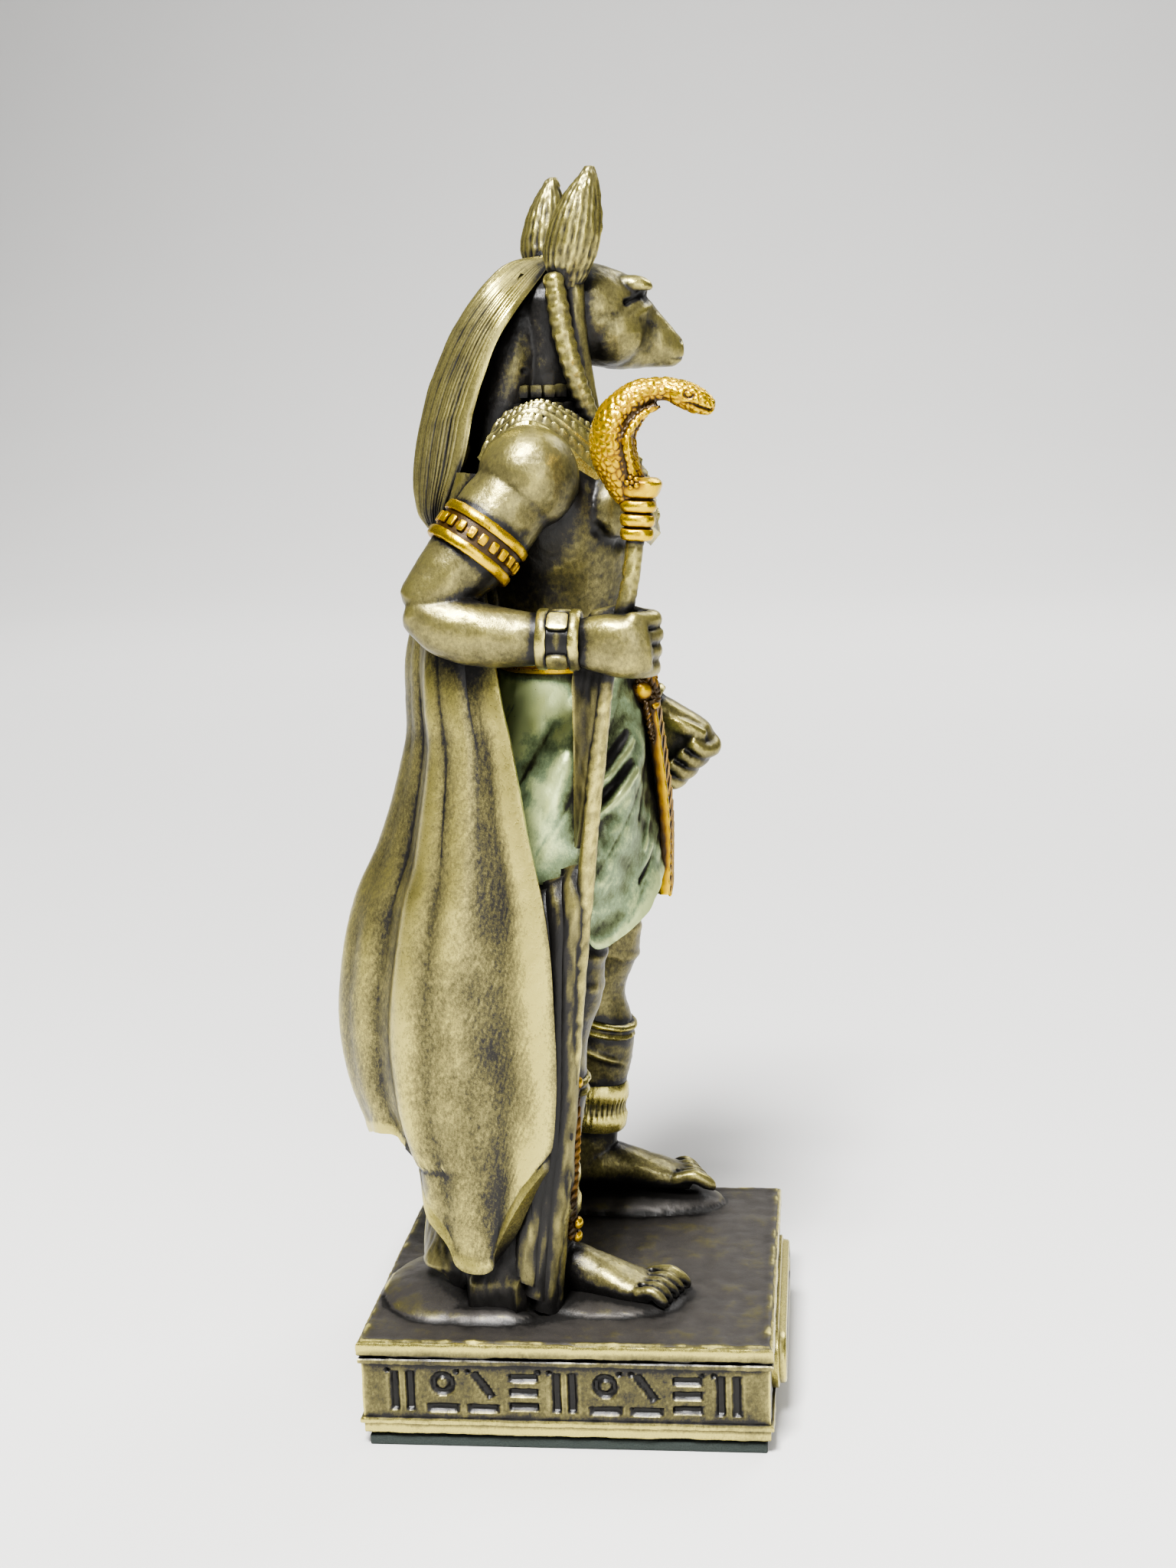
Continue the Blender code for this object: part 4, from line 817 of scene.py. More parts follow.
def cape_surface(u, v):
    """Cape from its right front edge round the back to its left one; v from shoulders to hem."""
    hem = at_height(CAPE_HEM, u)[0]
    h = 63.0 + (hem - 63.0) * v
    near_x, near_y = at_height(CAPE_FRONT, h)
    rear = at_height(CAPE_REAR, h)[0]
    half = MIDDLE - near_x
    around = (u * 2 - 1) * math.pi / 2
    fall = np.clip(np.cos(around), 0, 1) ** 0.84
    grow = np.clip((66.0 - h) / 34.0, 0, 1)
    fold = sum(height * np.exp(-((u - place) / width) ** 2) for place, height, width in CAPE_FOLDS) * grow
    pleat = 0.08 * grow * np.sin(u * 91 + h * 0.05)
    lip = 0.35 * np.exp(-((1 - v) / 0.015) ** 2)
    tuck = 1.0 - 0.16 * np.clip((16.0 - h) / 16.0, 0, 1) ** 1.5 * fall
    x = np.sign(around) * np.abs(np.sin(around)) ** 0.85 * half
    y = near_y + (rear - near_y) * fall * tuck
    centre_y = near_y + (rear - near_y) * 0.3
    away = unit_rows(np.stack([x, y - centre_y], -1))
    reach = fold + pleat + lip
    return MIDDLE + x + away[..., 0] * reach, y + away[..., 1] * reach, h


def make_cape():
    form = Form()
    form.shell(cape_surface, 210, 124, sizes().cape_thickness / unit())
    cape = make_piece("cape", form, "cloth_bronze", crease=60)
    sculpt(cape, rough(0.3, 0.03, 1.0, stretch=(1, 1, 1.6)), rough(2.4, 0.14, 4.0, stretch=(1, 1, 3)))


def staff_y(h):
    return np.interp(h, [p[2] for p in STAFF_PATH], [p[1] for p in STAFF_PATH])


def side_panel_surface(u, v):
    """Fluted cloth between the cape's right edge and the staff."""
    low = 3.8 * (1 - u) - SINK * u
    top = 31.6 + 3.4 * u
    h = top + (low - top) * v
    near_x, near_y = at_height(CAPE_FRONT, h)
    flute = 0.4 * np.abs(np.cos(u * 3.5 * math.pi + 0.3 * np.sin(h * 0.3))) ** 0.7
    x = near_x + 0.9 + (-9.2 - near_x - 0.9) * u + 0.2 - flute + 1.3 * np.exp(-(v / 0.05) ** 2)
    return x, near_y + 1.2 + (staff_y(h) + 0.2 - near_y - 1.2) * u, h


def web_surface(u, v):
    """Thin fin behind the staff, from the fist's underside down to the kilt's hem."""
    h = 49.5 + (36.0 - 49.5) * v
    return -8.2 - 0.9 * u, staff_y(h) + (2.2 - 1.9 * v) * (1 - u), h


TRAILING_HEM = [(0.0, 9.0), (0.08, 5.5), (0.18, 3.2), (0.3, 2.6), (0.42, 2.2), (0.5, 0.8), (0.58, 1.8),
                (0.68, -SINK), (1.0, -SINK)]


def trailing_hem_surface(u, v):
    """Second layer of the cape's hem, which drops behind the first one and meets the ground."""
    low = at_height(TRAILING_HEM, u)[0]
    top = 10.5 - 1.0 * u
    h = top + (low - top) * v
    sunk = np.clip((top - h) / (top - 2.6), 0, 1)
    crumple = 0.35 * np.sin(u * 17 + v * 2) * sunk
    return (-3.0 - 6.8 * np.sin(u * math.pi / 2) - (1.6 * u + crumple) * sunk ** 2,
            13.0 - 9.2 * u ** 1.4 - 3.2 * (1 - sunk) ** 1.2 + 0.4 * np.sin(u * 9) + crumple, h)


def make_side_cloth():
    form = Form()
    form.shell(side_panel_surface, 54, 90, -1.0)
    form.shell(trailing_hem_surface, 80, 50, 1.0)
    form.shell(web_surface, 16, 50, -1.0)
    # The cloth beside the staff takes the darkest copy of the bronze, a painted shade.
    cloth = make_piece("side_cloth", form, "deep_bronze", crease=60)
    sculpt(cloth, rough(0.4, 0.07, 3.0, stretch=(1, 1, 3.5)), rough(1.0, 0.08, 8.0, stretch=(1, 1, 3)))


# Staff, serpent and jewellery

STAFF_X = -9.5
STAFF_PATH = [(STAFF_X, y, h) for y, h in ((1.4, -SINK), (-1.5, 27.0), (-4.2, 48.5), (-5.4, 52.5),
                                           (-6.2, 55.5),
                                           (-6.8, 59.5))]


def make_staff():
    form = Form()
    radius = sizes().staff_diameter / 2 / unit()
    form.sweep([(*point, radius, radius) for point in STAFF_PATH], steps=48, sides=20, dome=0)
    staff = make_piece("staff", form, "antique_bronze", crease=60)
    sculpt(staff, rough(0.45, 0.07, 2.0), rough(1.8, 0.06, 5.0))


def cracks(size, depth, seed):
    """Net of fine cracks between scales of a size."""
    def stroke(points):
        move = np.empty(len(points))
        for index, place in enumerate((points / size + seed).tolist()):
            near = noise.voronoi(place)[0]
            move[index] = -depth * math.exp(-((near[1] - near[0]) / 0.16) ** 2)
        return move
    return stroke


def make_serpent():
    """Rearing serpent on the staff: broad hood behind, head bent forward and down, ribbed collar."""
    form = Form()
    spine = [(-6.6, 61.6, 1.15, 1.35), (-5.9, 63.2, 1.7, 1.65), (-5.3, 65.0, 2.05, 1.7), (-5.7, 66.9, 1.85,
                                                                                          1.55),
             (-7.2, 68.3, 1.3, 1.25), (-8.9, 68.7, 0.9, 0.95), (-10.2, 68.4, 1.1, 1.0), (-11.3, 67.9, 1.05,
                                                                                         0.95),
             (-12.1, 67.5, 0.75, 0.7)]
    form.sweep([(STAFF_X, *row) for row in spine], steps=10, sides=36)
    for side in (-1, 1):
        form.ball((STAFF_X + side * 0.72, -10.5, 68.55), (0.38, 0.5, 0.4))
        form.sweep([(STAFF_X + side * 1.3, -6.9, 62.4, 0.32, 0.32), (STAFF_X + side * 1.85, -6.6, 64.0,
                                                                     0.34, 0.34),
                    (STAFF_X + side * 1.95, -6.5, 65.6, 0.34, 0.34), (STAFF_X + side * 1.4, -7.4, 67.0,
                                                                      0.3, 0.3),
                    (STAFF_X + side * 0.9, -8.6, 67.6, 0.25, 0.25)], sides=14)
    serpent = make_piece("serpent", form, "gold_paint")
    fuse(serpent, 0.1, rounds=2)
    strokes = [cracks(0.5, 0.09, 3.0), rough(1.2, 0.06, 1.0)]
    for side in (-1, 1):
        strokes.append(groove([(STAFF_X + side * 0.2, -12.7, 67.2), (STAFF_X + side * 0.7, -12.0, 67.25),
                               (STAFF_X + side * 1.05, -11.0, 67.6), (STAFF_X + side * 1.1, -10.2, 67.8)],
                              0.12, 0.28))
        strokes.append(groove([(STAFF_X + side * 1.08, -10.75 + 0.34 * math.cos(a), 68.45 + 0.3
                                * math.sin(a))
                               for a in np.linspace(0, TAU, 9)], 0.1, 0.2))
    strokes.append(groove([(STAFF_X, -8.3, 63.0), (STAFF_X, -7.4, 65.4), (STAFF_X, -8.6, 67.2)], 0.9, 0.45))
    sculpt(serpent, *strokes)
    thin(serpent, 0.8)
    collar = Form()
    rings = [(58.4, 0.95), (58.5, 1.12), (58.8, 1.2), (59.15, 1.14), (59.3, 0.92), (59.45, 1.15),
             (59.8, 1.26),
             (60.15, 1.16), (60.3, 0.94), (60.45, 1.18), (60.8, 1.3), (61.15, 1.2), (61.3, 1.0),
             (61.5, 1.3),
             (61.9, 1.5), (62.35, 1.62), (62.6, 1.5), (62.8, 1.2)]
    rows = [(STAFF_X, -6.75 - (h - 58.4) * 0.08, h, wide, wide) for h, wide in rings]
    collar.sweep(rows, steps=4, sides=40, square=2.6, dome=0)
    for side in (-1, 1):
        for k in range(5):
            a = k * TAU / 5
            collar.ball((STAFF_X + side * 1.72, -6.7 + 0.34 * math.cos(a), 62.5 + 0.34 * math.sin(a)),
                        (0.22, 0.22, 0.22), fine=10)
        collar.ball((STAFF_X + side * 1.8, -6.7, 62.5), (0.22, 0.2, 0.2), fine=10)
    sculpt(make_piece("serpent_collar", collar, "gold_paint", crease=50), rough(0.35, 0.04, 2.0))


def band_frame(start, end):
    """Middle, axis and two cross directions of a ring round a limb."""
    first, last = np.array(start, float), np.array(end, float)
    axis = unit_rows(last - first)
    side = unit_rows(np.array((1.0, 0, 0)) - axis[0] * axis)
    return first, last - first, axis, side, np.cross(axis, side)


def add_band(form, start, end, radii, profile, lumps=0, lump_height=0.0):
    """Ring round a limb from a profile of (share of its width, lift)."""
    first, span, axis, side, other = band_frame(start, end)
    turn = np.arange(144) * TAU / 144
    rings = []
    for share, lift in profile:
        wave = lump_height * np.abs(np.sin(turn * lumps / 2)) ** 0.6 * (0.3 < share < 0.7) if lumps else 0.0
        across = (radii[0] + lift + wave) * np.cos(turn)
        deep = (radii[1] + lift + wave) * np.sin(turn)
        rings.append(first + span * share + across[:, None] * side + deep[:, None] * other)
    form.skin(rings)


def add_stones(form, start, end, radii, count, size, share=0.5, lift=0.1):
    """Row of square stones set round a ring."""
    first, span, axis, side, other = band_frame(start, end)
    for k in range(count):
        turn = (k + 0.5) * TAU / count
        out = unit_rows(math.cos(turn) * side / radii[0] + math.sin(turn) * other / radii[1])
        centre = (first + span * share + math.cos(turn) * (radii[0] + lift) * side
                  + math.sin(turn) * (radii[1] + lift) * other)
        basis = np.stack([np.cross(axis, out), axis, out], 1)
        block = Form()
        block.ball((0, 0, 0), size, fine=12, square=5)
        form.add(block.points @ basis.T + centre, block.faces)


RIMMED = ((0.0, -0.3), (0.0, 0.12), (0.04, 0.24), (0.18, 0.28), (0.24, 0.2), (0.26, 0.0), (0.5, 0.0),
          (0.74, 0.0),
          (0.76, 0.2), (0.82, 0.28), (0.96, 0.24), (1.0, 0.12), (1.0, -0.3))
RIBBED = ((0.0, -0.3), (0.0, 0.05), (0.08, 0.24), (0.2, 0.3), (0.32, 0.2), (0.4, 0.04), (0.5, 0.0),
          (0.6, 0.04),
          (0.68, 0.2), (0.8, 0.3), (0.92, 0.24), (1.0, 0.05), (1.0, -0.3))


def make_bands():
    gold = Form()
    for start, end, radii in (((-7.35, 4.05, 59.5), (-8.2, 5.75, 57.2), (3.0, 3.2)),
                              ((12.3, 2.5, 58.2), (12.75, 2.95, 55.6), (2.8, 3.1))):
        add_band(gold, start, end, radii, RIMMED)
        add_stones(gold, start, end, radii, 22, (0.3, 0.42, 0.2))
    sculpt(make_piece("armbands", gold, "gold_paint", crease=40), rough(0.4, 0.04, 6.0))
    bronze = Form()
    for start, end, radii in (((-10.0, 0.5, 51.6), (-10.0, -2.6, 51.45), (1.85, 1.95)),
                              ((13.85, -3.3, 44.6), (13.95, -5.4, 42.8), (1.75, 1.9))):
        add_band(bronze, start, end, radii, RIMMED)
        add_stones(bronze, start, end, radii, 4, (0.75, 0.8, 0.22), lift=0.08)
    for start, end, radii in (((11.95, 0.1, 11.2), (12.05, 0.5, 7.0), (2.1, 2.7)),
                              ((-6.3, 1.7, 10.8), (-6.1, 1.8, 6.6), (1.95, 2.15))):
        add_band(bronze, start, end, radii, RIBBED, lumps=36, lump_height=0.1)
    for start, end, radii in (((11.75, -0.5, 17.2), (11.85, -0.1, 15.9), (2.55, 3.15)),
                              ((-6.45, 1.2, 18.2), (-6.4, 1.4, 16.8), (2.55, 2.75))):
        add_band(bronze, start, end, radii, RIBBED)
    sculpt(make_piece("cuffs_and_anklets", bronze, "antique_bronze", crease=40), rough(0.5, 0.05, 1.0))
    cord = Form()
    rope(cord, [(-8.0, -0.6, 17.6), (-7.7, -0.5, 13.6), (-7.3, -0.2, 10.4), (-7.1, 0.1, 7.2),
                (-7.0, 0.1, 5.0)],
         0.28, 0.3, 9, steps=14)
    for centre in ((-7.9, -0.9, 17.7), (-7.0, -0.4, 6.1), (-6.9, -0.3, 5.0)):
        cord.ball(centre, (0.55, 0.45, 0.5))
    make_piece("leg_cord", cord, "gold_paint", crease=50)


# Plinth

SLAB_THICKNESS = 1.1
SLAB_OVERHANG = 0.3
GROOVE_HEIGHT = 0.2
GROOVE_DEPTH = 0.4
BORDER_HEIGHT = 0.4
BORDER_RELIEF = 0.25
FOOT_BAND_HEIGHT = 0.9
STROKE_MARGIN = 1.8
STROKE_COUNT = 9
STROKE_SOFTNESS = 0.22
PLAQUE_LENGTH = 21.5
PLAQUE_RELIEF = 1.1
FELT_INSET = 0.0006
FELT_ROUNDING = 0.00012


def panel_span():
    """Lowest and highest level of the plain field between the plinth's borders, below the top."""
    low = -sizes().plinth_height / unit() + FOOT_BAND_HEIGHT + BORDER_HEIGHT
    return low, -SLAB_THICKNESS - GROOVE_HEIGHT - BORDER_HEIGHT


def bar(x, y, half_wide, half_tall, turn=0.0):
    along_bar = x * math.cos(turn) + y * math.sin(turn)
    across = -x * math.sin(turn) + y * math.cos(turn)
    return np.maximum(np.abs(along_bar) - half_wide, np.abs(across) - half_tall)


def disc(x, y, radius):
    return np.hypot(x, y) - radius


def stroke_field(place, level):
    """How deep the strokes are, from 0 to 1, along and up one side of the plinth."""
    low, high = panel_span()
    tall = high - low
    side = sizes().plinth_side / unit()
    pitch = (side - 2 * STROKE_MARGIN) / STROKE_COUNT
    cell = (place + side / 2 - STROKE_MARGIN) / pitch
    index = np.clip(np.floor(cell), 0, STROKE_COUNT - 1)
    x = (cell - index - 0.5) * pitch
    y = level - (low + high) / 2
    kinds = [np.minimum(bar(x - 0.2 * pitch, y, 0.1 * pitch, 0.35 * tall),
                        bar(x + 0.2 * pitch, y, 0.1 * pitch, 0.35 * tall)),
             np.minimum(np.abs(disc(x, y - 0.14 * tall, 0.22 * pitch)) - 0.08 * pitch,
                        bar(x, y + 0.3 * tall, 0.375 * pitch, 0.06 * tall)),
             np.minimum(bar(x, y - 0.12 * tall, 0.09 * pitch, 0.27 * tall, 0.6),
                        bar(x, y + 0.3 * tall, 0.375 * pitch, 0.06 * tall)),
             np.minimum.reduce([bar(x, y - lift * tall, 0.35 * pitch, 0.06
                                    * tall) for lift in (0.26, 0, -0.26)])]
    gap = np.select([index % 4 == kind for kind in range(4)], kinds)
    dots = disc(x - 0.36 * pitch * np.where(index % 2, 1, -1), y - 0.36 * tall, 0.17)
    gap = np.minimum(gap, dots)
    return np.clip(0.5 - gap / STROKE_SOFTNESS, 0, 1) * (np.abs(place) < side / 2 - STROKE_MARGIN * 0.6)


def make_plinth():
    """Stepped block with a row of shallow strokes on its left and right sides."""
    slab = sizes().plinth_side / 2 / unit()
    block = slab - SLAB_OVERHANG
    raised = block + BORDER_RELIEF
    low = -sizes().plinth_height / unit()
    band = low + FOOT_BAND_HEIGHT
    groove_low = -SLAB_THICKNESS - GROOVE_HEIGHT
    field_low, field_high = panel_span()
    levels = [(block - 0.15, low), (block - 0.03, low + 0.06), (block, low + 0.2), (block, low + 0.5),
              (block, band - 0.05), (raised - 0.05, band), (raised, band + 0.1), (raised, band + 0.3),
              (raised - 0.05, band + BORDER_HEIGHT), (block, field_low + 0.05)]
    levels += [(block, level) for level in np.linspace(field_low + 0.12, field_high - 0.12, 38)]
    levels += [(block, field_high - 0.05), (raised - 0.05, field_high), (raised, field_high + 0.1),
               (raised, field_high + 0.3), (raised - 0.08, groove_low), (block - GROOVE_DEPTH, groove_low
                                                                         + 0.02),
               (block - GROOVE_DEPTH, groove_low + GROOVE_HEIGHT - 0.02), (slab - 0.1, groove_low
                                                                           + GROOVE_HEIGHT),
               (slab, -SLAB_THICKNESS + 0.12), (slab, -0.75), (slab, -0.55), (slab, -0.35),
               (slab - 0.03, -0.18), (slab - 0.1, -0.06), (slab - 0.25, 0.0), (slab - 0.6, 0.0),
               (slab - 0.8, -0.5)]
    share = np.linspace(-1, 1, 161)[:-1]
    rings = []
    for half, level in levels:
        dent = sizes().stroke_depth / unit() * stroke_field(share * half, np.full(len(share), level)) \
            if field_low < level < field_high else 0.0
        plain = np.full(len(share), half)
        carved = plain - dent
        ring = [(carved, share * half), (-share * half, plain), (-carved, -share * half), (share * half,
                                                                                           -plain)]
        rings.append(np.vstack([np.stack([x, y, np.full(len(share), level)], -1) for x, y in ring]))
    form = Form()
    form.skin(rings)
    # The plinth takes the darker copy of the bronze, a painted shade.
    plinth = make_piece("plinth", form, "dim_bronze", crease=35)
    sculpt(plinth, rough(0.7, 0.05, 1.0), rough(3.0, 0.07, 5.0), rough(0.25, 0.02, 8.0))


def make_ground():
    """Rough ground on the plinth's top, with a mound under each foot and under the hem."""
    half = sizes().plinth_side / 2 / unit() - 0.12

    def surface(u, v):
        x, y = (u * 2 - 1) * half, (v * 2 - 1) * half
        lift = np.zeros_like(x)
        for centre, reach, height in (((12.2, -2.6), (3.5, 8.2), 1.6), ((-7.0, -2.6), (3.8, 5.8), 0.75),
                                      ((-5.6, 10.0), (6.4, 5.2), 1.35), ((-11.0, 6.6), (1.2, 4.0), 0.8)):
            gap = ((x - centre[0]) / reach[0]) ** 2 + ((y - centre[1]) / reach[1]) ** 2
            lift = np.maximum(lift, height * np.sqrt(np.clip(1 - gap, 0, 1)))
        edge = half - np.maximum(np.abs(x), np.abs(y))
        rim = 0.1 * np.exp(-((edge - 0.35) / 0.3) ** 2)
        return x, y, lift + rim - 0.12 * np.clip(1 - edge / 0.15, 0, 1)

    form = Form()
    form.shell(surface, 130, 130, -0.3)
    ground = make_piece("ground", form, "dark_ground", crease=60)
    sculpt(ground, rough(0.5, 0.025, 2.0), rough(1.5, 0.09, 6.0))


def make_plaque():
    """Raised tablet with round ends and two studs, on the plinth's front."""
    low, high = panel_span()
    tall = high - low + BORDER_HEIGHT
    front = -(sizes().plinth_side / 2 / unit() - SLAB_OVERHANG)
    middle = (low + high) / 2
    turn = np.arange(48) * math.pi / 47 - math.pi / 2
    rings = []
    for inset, proud in ((0.0, -0.4), (0.0, 0.45), (0.08, 0.52), (0.25, 0.55), (0.35, 0.6), (0.4, 0.95),
                         (0.48, 1.05), (0.62, PLAQUE_RELIEF), (0.9, PLAQUE_RELIEF), (1.1, PLAQUE_RELIEF
                                                                                     - 0.12),
                         (1.3, PLAQUE_RELIEF - 0.15)):
        radius = tall / 2 - inset
        x = np.concatenate([PLAQUE_LENGTH / 2 - tall / 2 + radius * np.cos(turn),
                            -(PLAQUE_LENGTH / 2 - tall / 2) - radius * np.cos(turn)])
        z = np.concatenate([radius * np.sin(turn), -radius * np.sin(turn)])
        rings.append(np.stack([x, np.full(len(x), front - proud), middle + z], -1))
    form = Form()
    form.skin(rings)
    for end in (-1, 1):
        form.ball((end * (PLAQUE_LENGTH / 2 - tall / 2), front - 0.75, middle), (0.75, 0.5, 0.75))
    make_piece("plaque", form, "antique_bronze", crease=40)


def make_felt():
    """Thin felt square under the plinth, with its cut edge softened."""
    side = sizes().plinth_side - 2 * FELT_INSET
    thick = sizes().felt_thickness
    bpy.ops.object.select_all(action="DESELECT")
    bpy.ops.mesh.primitive_cube_add(size=1, location=(0, 0, thick / 2), scale=(side, side, thick))
    pad = bpy.context.object
    pad.name = "felt"
    bpy.ops.object.transform_apply(location=True, rotation=True, scale=True)
    bevel = pad.modifiers.new("edge", "BEVEL")
    bevel.width = FELT_ROUNDING
    bevel.segments = 2
    bpy.ops.object.modifier_apply(modifier=bevel.name)
    bpy.ops.object.mode_set(mode="EDIT")
    bpy.ops.mesh.select_all(action="SELECT")
    bpy.ops.mesh.subdivide(number_cuts=4)
    bpy.ops.object.mode_set(mode="OBJECT")
    bpy.ops.object.shade_smooth_by_angle(angle=math.radians(40))
    declare(pad, "felt", node=FELT)


# Weathering, painted shade and painted top light

def spread(values, edges, times):
    """Values of the points, averaged with their neighbours a number of times."""
    a, b = edges[:, 0], edges[:, 1]
    count = len(values)
    share = np.maximum(np.bincount(a, minlength=count) + np.bincount(b, minlength=count), 1)[:, None]
    for _ in range(times):
        total = [np.bincount(a, values[b, k], count) + np.bincount(b, values[a, k], count)
                 for k in range(values.shape[1])]
        values = 0.5 * values + 0.5 * np.stack(total, 1) / share
    return values


def store(mesh, name, values):
    layer = mesh.attributes.get(name) or mesh.attributes.new(name, "FLOAT", "POINT")
    layer.data.foreach_set("value", values.astype(np.float32))


BROAD_PIECES = ("cape", "kilt")
RELIEF_REACHES = ((0.22, 0.10, 60), (0.9, 0.7, 60))
BROAD_REACH = (2.6, 1.0, 200)
OPEN_REACH = 5.0
OPEN_ROUNDS = 8
RAY_START = 0.06
RAY_TILTS = np.radians((15, 40, 40, 40, 65, 65, 65))
RAY_TURNS = np.radians((0, 60, 180, 300, 0, 120, 240))
# Share and limit of the painted top light that upward-facing points get in the colour.
PAINTED_TOP_LIGHT_SHARE = 0.09
PAINTED_TOP_LIGHT_LIMIT = 0.4
BOX_MARGIN = 1e-5


def mark_relief(piece):
    """Keep how far each point stands out of its surroundings, 0.5 on a plain face."""
    mesh = piece.data
    points, normals = read_points(mesh)
    edges = read_edges(mesh)
    length = float(np.median(np.linalg.norm(points[edges[:, 0]] - points[edges[:, 1]], axis=1)))
    marks = np.full(len(points), 0.5)
    reaches = RELIEF_REACHES + (BROAD_REACH,) * (piece.name in BROAD_PIECES)
    for reach, scale, limit in reaches:
        times = int(np.clip(2 * (reach / length) ** 2, 2, limit))
        around = spread(points, edges, times)
        marks += 0.5 * np.tanh(((points - around) * normals).sum(1) / scale)
    store(mesh, "relief", np.clip(marks, 0, 1))


def mark_patina_shade_and_top_light(pieces):
    """Keep how open each point is to the air, from rays over its hemisphere: a mark that darkens the colour
    partly as patina and partly as painted shade where rays are blocked, with a painted top light added on
    upward faces.
    """
    clouds = [read_points(piece.data) for piece in pieces]
    faces, start = [], 0
    for piece, (points, _) in zip(pieces, clouds):
        faces += [[start + k for k in face.vertices] for face in piece.data.polygons]
        start += len(points)
    tree = BVHTree.FromPolygons(np.vstack([points for points, _ in clouds]).tolist(), faces)
    chance = np.random.default_rng(4)
    for piece, (points, normals) in zip(pieces, clouds):
        side = unit_rows(np.cross(normals, np.array((0.31, 0.52, 0.79))))
        other = np.cross(normals, side)
        spin = chance.uniform(0, TAU, len(points))[:, None]
        origin = (points + normals * RAY_START).tolist()
        shut = np.zeros(len(points))
        for a, b in zip(RAY_TILTS, RAY_TURNS):
            rays = (math.cos(a) * normals + math.sin(a) * (np.cos(b + spin) * side + np.sin(b + spin)
                                                           * other))
            hits = [tree.ray_cast(p, d, OPEN_REACH)[3] for p, d in zip(origin, rays.tolist())]
            shut += np.array([0.0 if hit is None else 1 - hit / OPEN_REACH for hit in hits])
        opened = spread(1 - shut[:, None] / len(RAY_TILTS), read_edges(piece.data), OPEN_ROUNDS)
        # Blocked places are darkened as painted shade as well as patina, and upward faces get a painted top
        # light.
        store(piece.data, "openness", opened[:, 0] + PAINTED_TOP_LIGHT_SHARE * np.minimum(normals[:, 2], PAINTED_TOP_LIGHT_LIMIT))


def keep_in_box(piece):
    """Hold a piece inside the box of the solids."""
    mesh = piece.data
    places = np.empty(len(mesh.vertices) * 3, np.float32)
    mesh.vertices.foreach_get("co", places)
    held = np.clip(places.reshape(-1, 3), np.array(CAD_BOX[0]) + BOX_MARGIN, np.array(CAD_BOX[1])
                   - BOX_MARGIN)
    mesh.vertices.foreach_set("co", held.astype(np.float32).ravel())
    mesh.update()


def figurine_pieces():
    """Every piece of the scene that stands for a solid."""
    return [item for item in bpy.context.scene.objects
            if item.type == "MESH" and item.name not in (CASTING, FELT)]


# Finishes

class Value:
    """Socket of a node, on which Python's arithmetic adds Math nodes."""

    def __init__(self, finish, socket):
        self.finish, self.socket = finish, socket

    def maths(self, operation, *values, clamp=False):
        return self.finish.node("ShaderNodeMath", {"operation": operation, "use_clamp": clamp},
                                dict(enumerate(values)))

    def __add__(self, other):
        return self.maths("ADD", self, other)

    __radd__ = __add__

    def __sub__(self, other):
        return self.maths("SUBTRACT", self, other)

    def __rsub__(self, other):
        return self.maths("SUBTRACT", other, self)

    def __mul__(self, other):
        return self.maths("MULTIPLY", self, other)

    __rmul__ = __mul__

    def held(self):
        """The value, held between 0 and 1."""
        return self.maths("ADD", self, 0.0, clamp=True)


class Finish:
    """Material built from nodes, one call for each."""

    def __init__(self, name, **plain):
        self.material = bpy.data.materials.new(name)
        self.material.use_nodes = True
        self.tree = self.material.node_tree
        self.shader = self.tree.nodes["Principled BSDF"]
        for socket, value in plain.items():
            self.shader.inputs[socket.replace("_", " ")].default_value = value

    def node(self, kind, settings, sockets, output=0):
        node = self.tree.nodes.new(kind)
        for key, value in settings.items():
            if key == "stops":
                self.set_stops(node.color_ramp, value)
            else:
                setattr(node, key, value)
        for key, value in sockets.items():
            self.feed(node.inputs[key], value)
        return Value(self, node.outputs[output])

    @staticmethod
    def set_stops(ramp, stops):
        while len(ramp.elements) < len(stops):
            ramp.elements.new(1.0)
        for element, (place, colour) in zip(ramp.elements, stops):
            element.position = place
            element.color = (*colour, 1.0)

    def feed(self, socket, value):
        if isinstance(value, Value):
            self.tree.links.new(value.socket, socket)
        else:
            socket.default_value = value

    def set(self, **sockets):
        for socket, value in sockets.items():
            self.feed(self.shader.inputs[socket.replace("_", " ")], value)

    def mix(self, factor, first, second):
        return self.node("ShaderNodeMix", {"data_type": "RGBA"}, {0: factor, 6: first, 7: second}, output=2)

    def place(self):
        return self.node("ShaderNodeTexCoord", {}, {}, output="Object")

    def stretched(self, scale):
        return self.node("ShaderNodeMapping", {}, {"Vector": self.place(), "Scale": scale})

    def noise(self, vector, scale, detail=3.0, roughness=0.6):
        return self.node("ShaderNodeTexNoise", {}, {"Vector": vector, "Scale": scale, "Detail": detail,
                                                    "Roughness": roughness})

    def mark(self, name):
        return self.node("ShaderNodeAttribute", {"attribute_name": name}, {}, output="Fac")

    def bump(self, height, strength, distance):
        return self.node("ShaderNodeBump", {}, {"Height": height, "Strength": strength,
                                                "Distance": distance})


GRAIN_SCALE = 5200.0
SPECK_SCALE = 13000.0
BLOTCH_SCALE = 240.0
RELIEF_SHARE = 1.55
# Level and weight of the ray mark, which paints shade where rays are blocked and a top light on upward
# faces.
OPEN_LEVEL = 0.88
OPEN_SHARE = 2.2


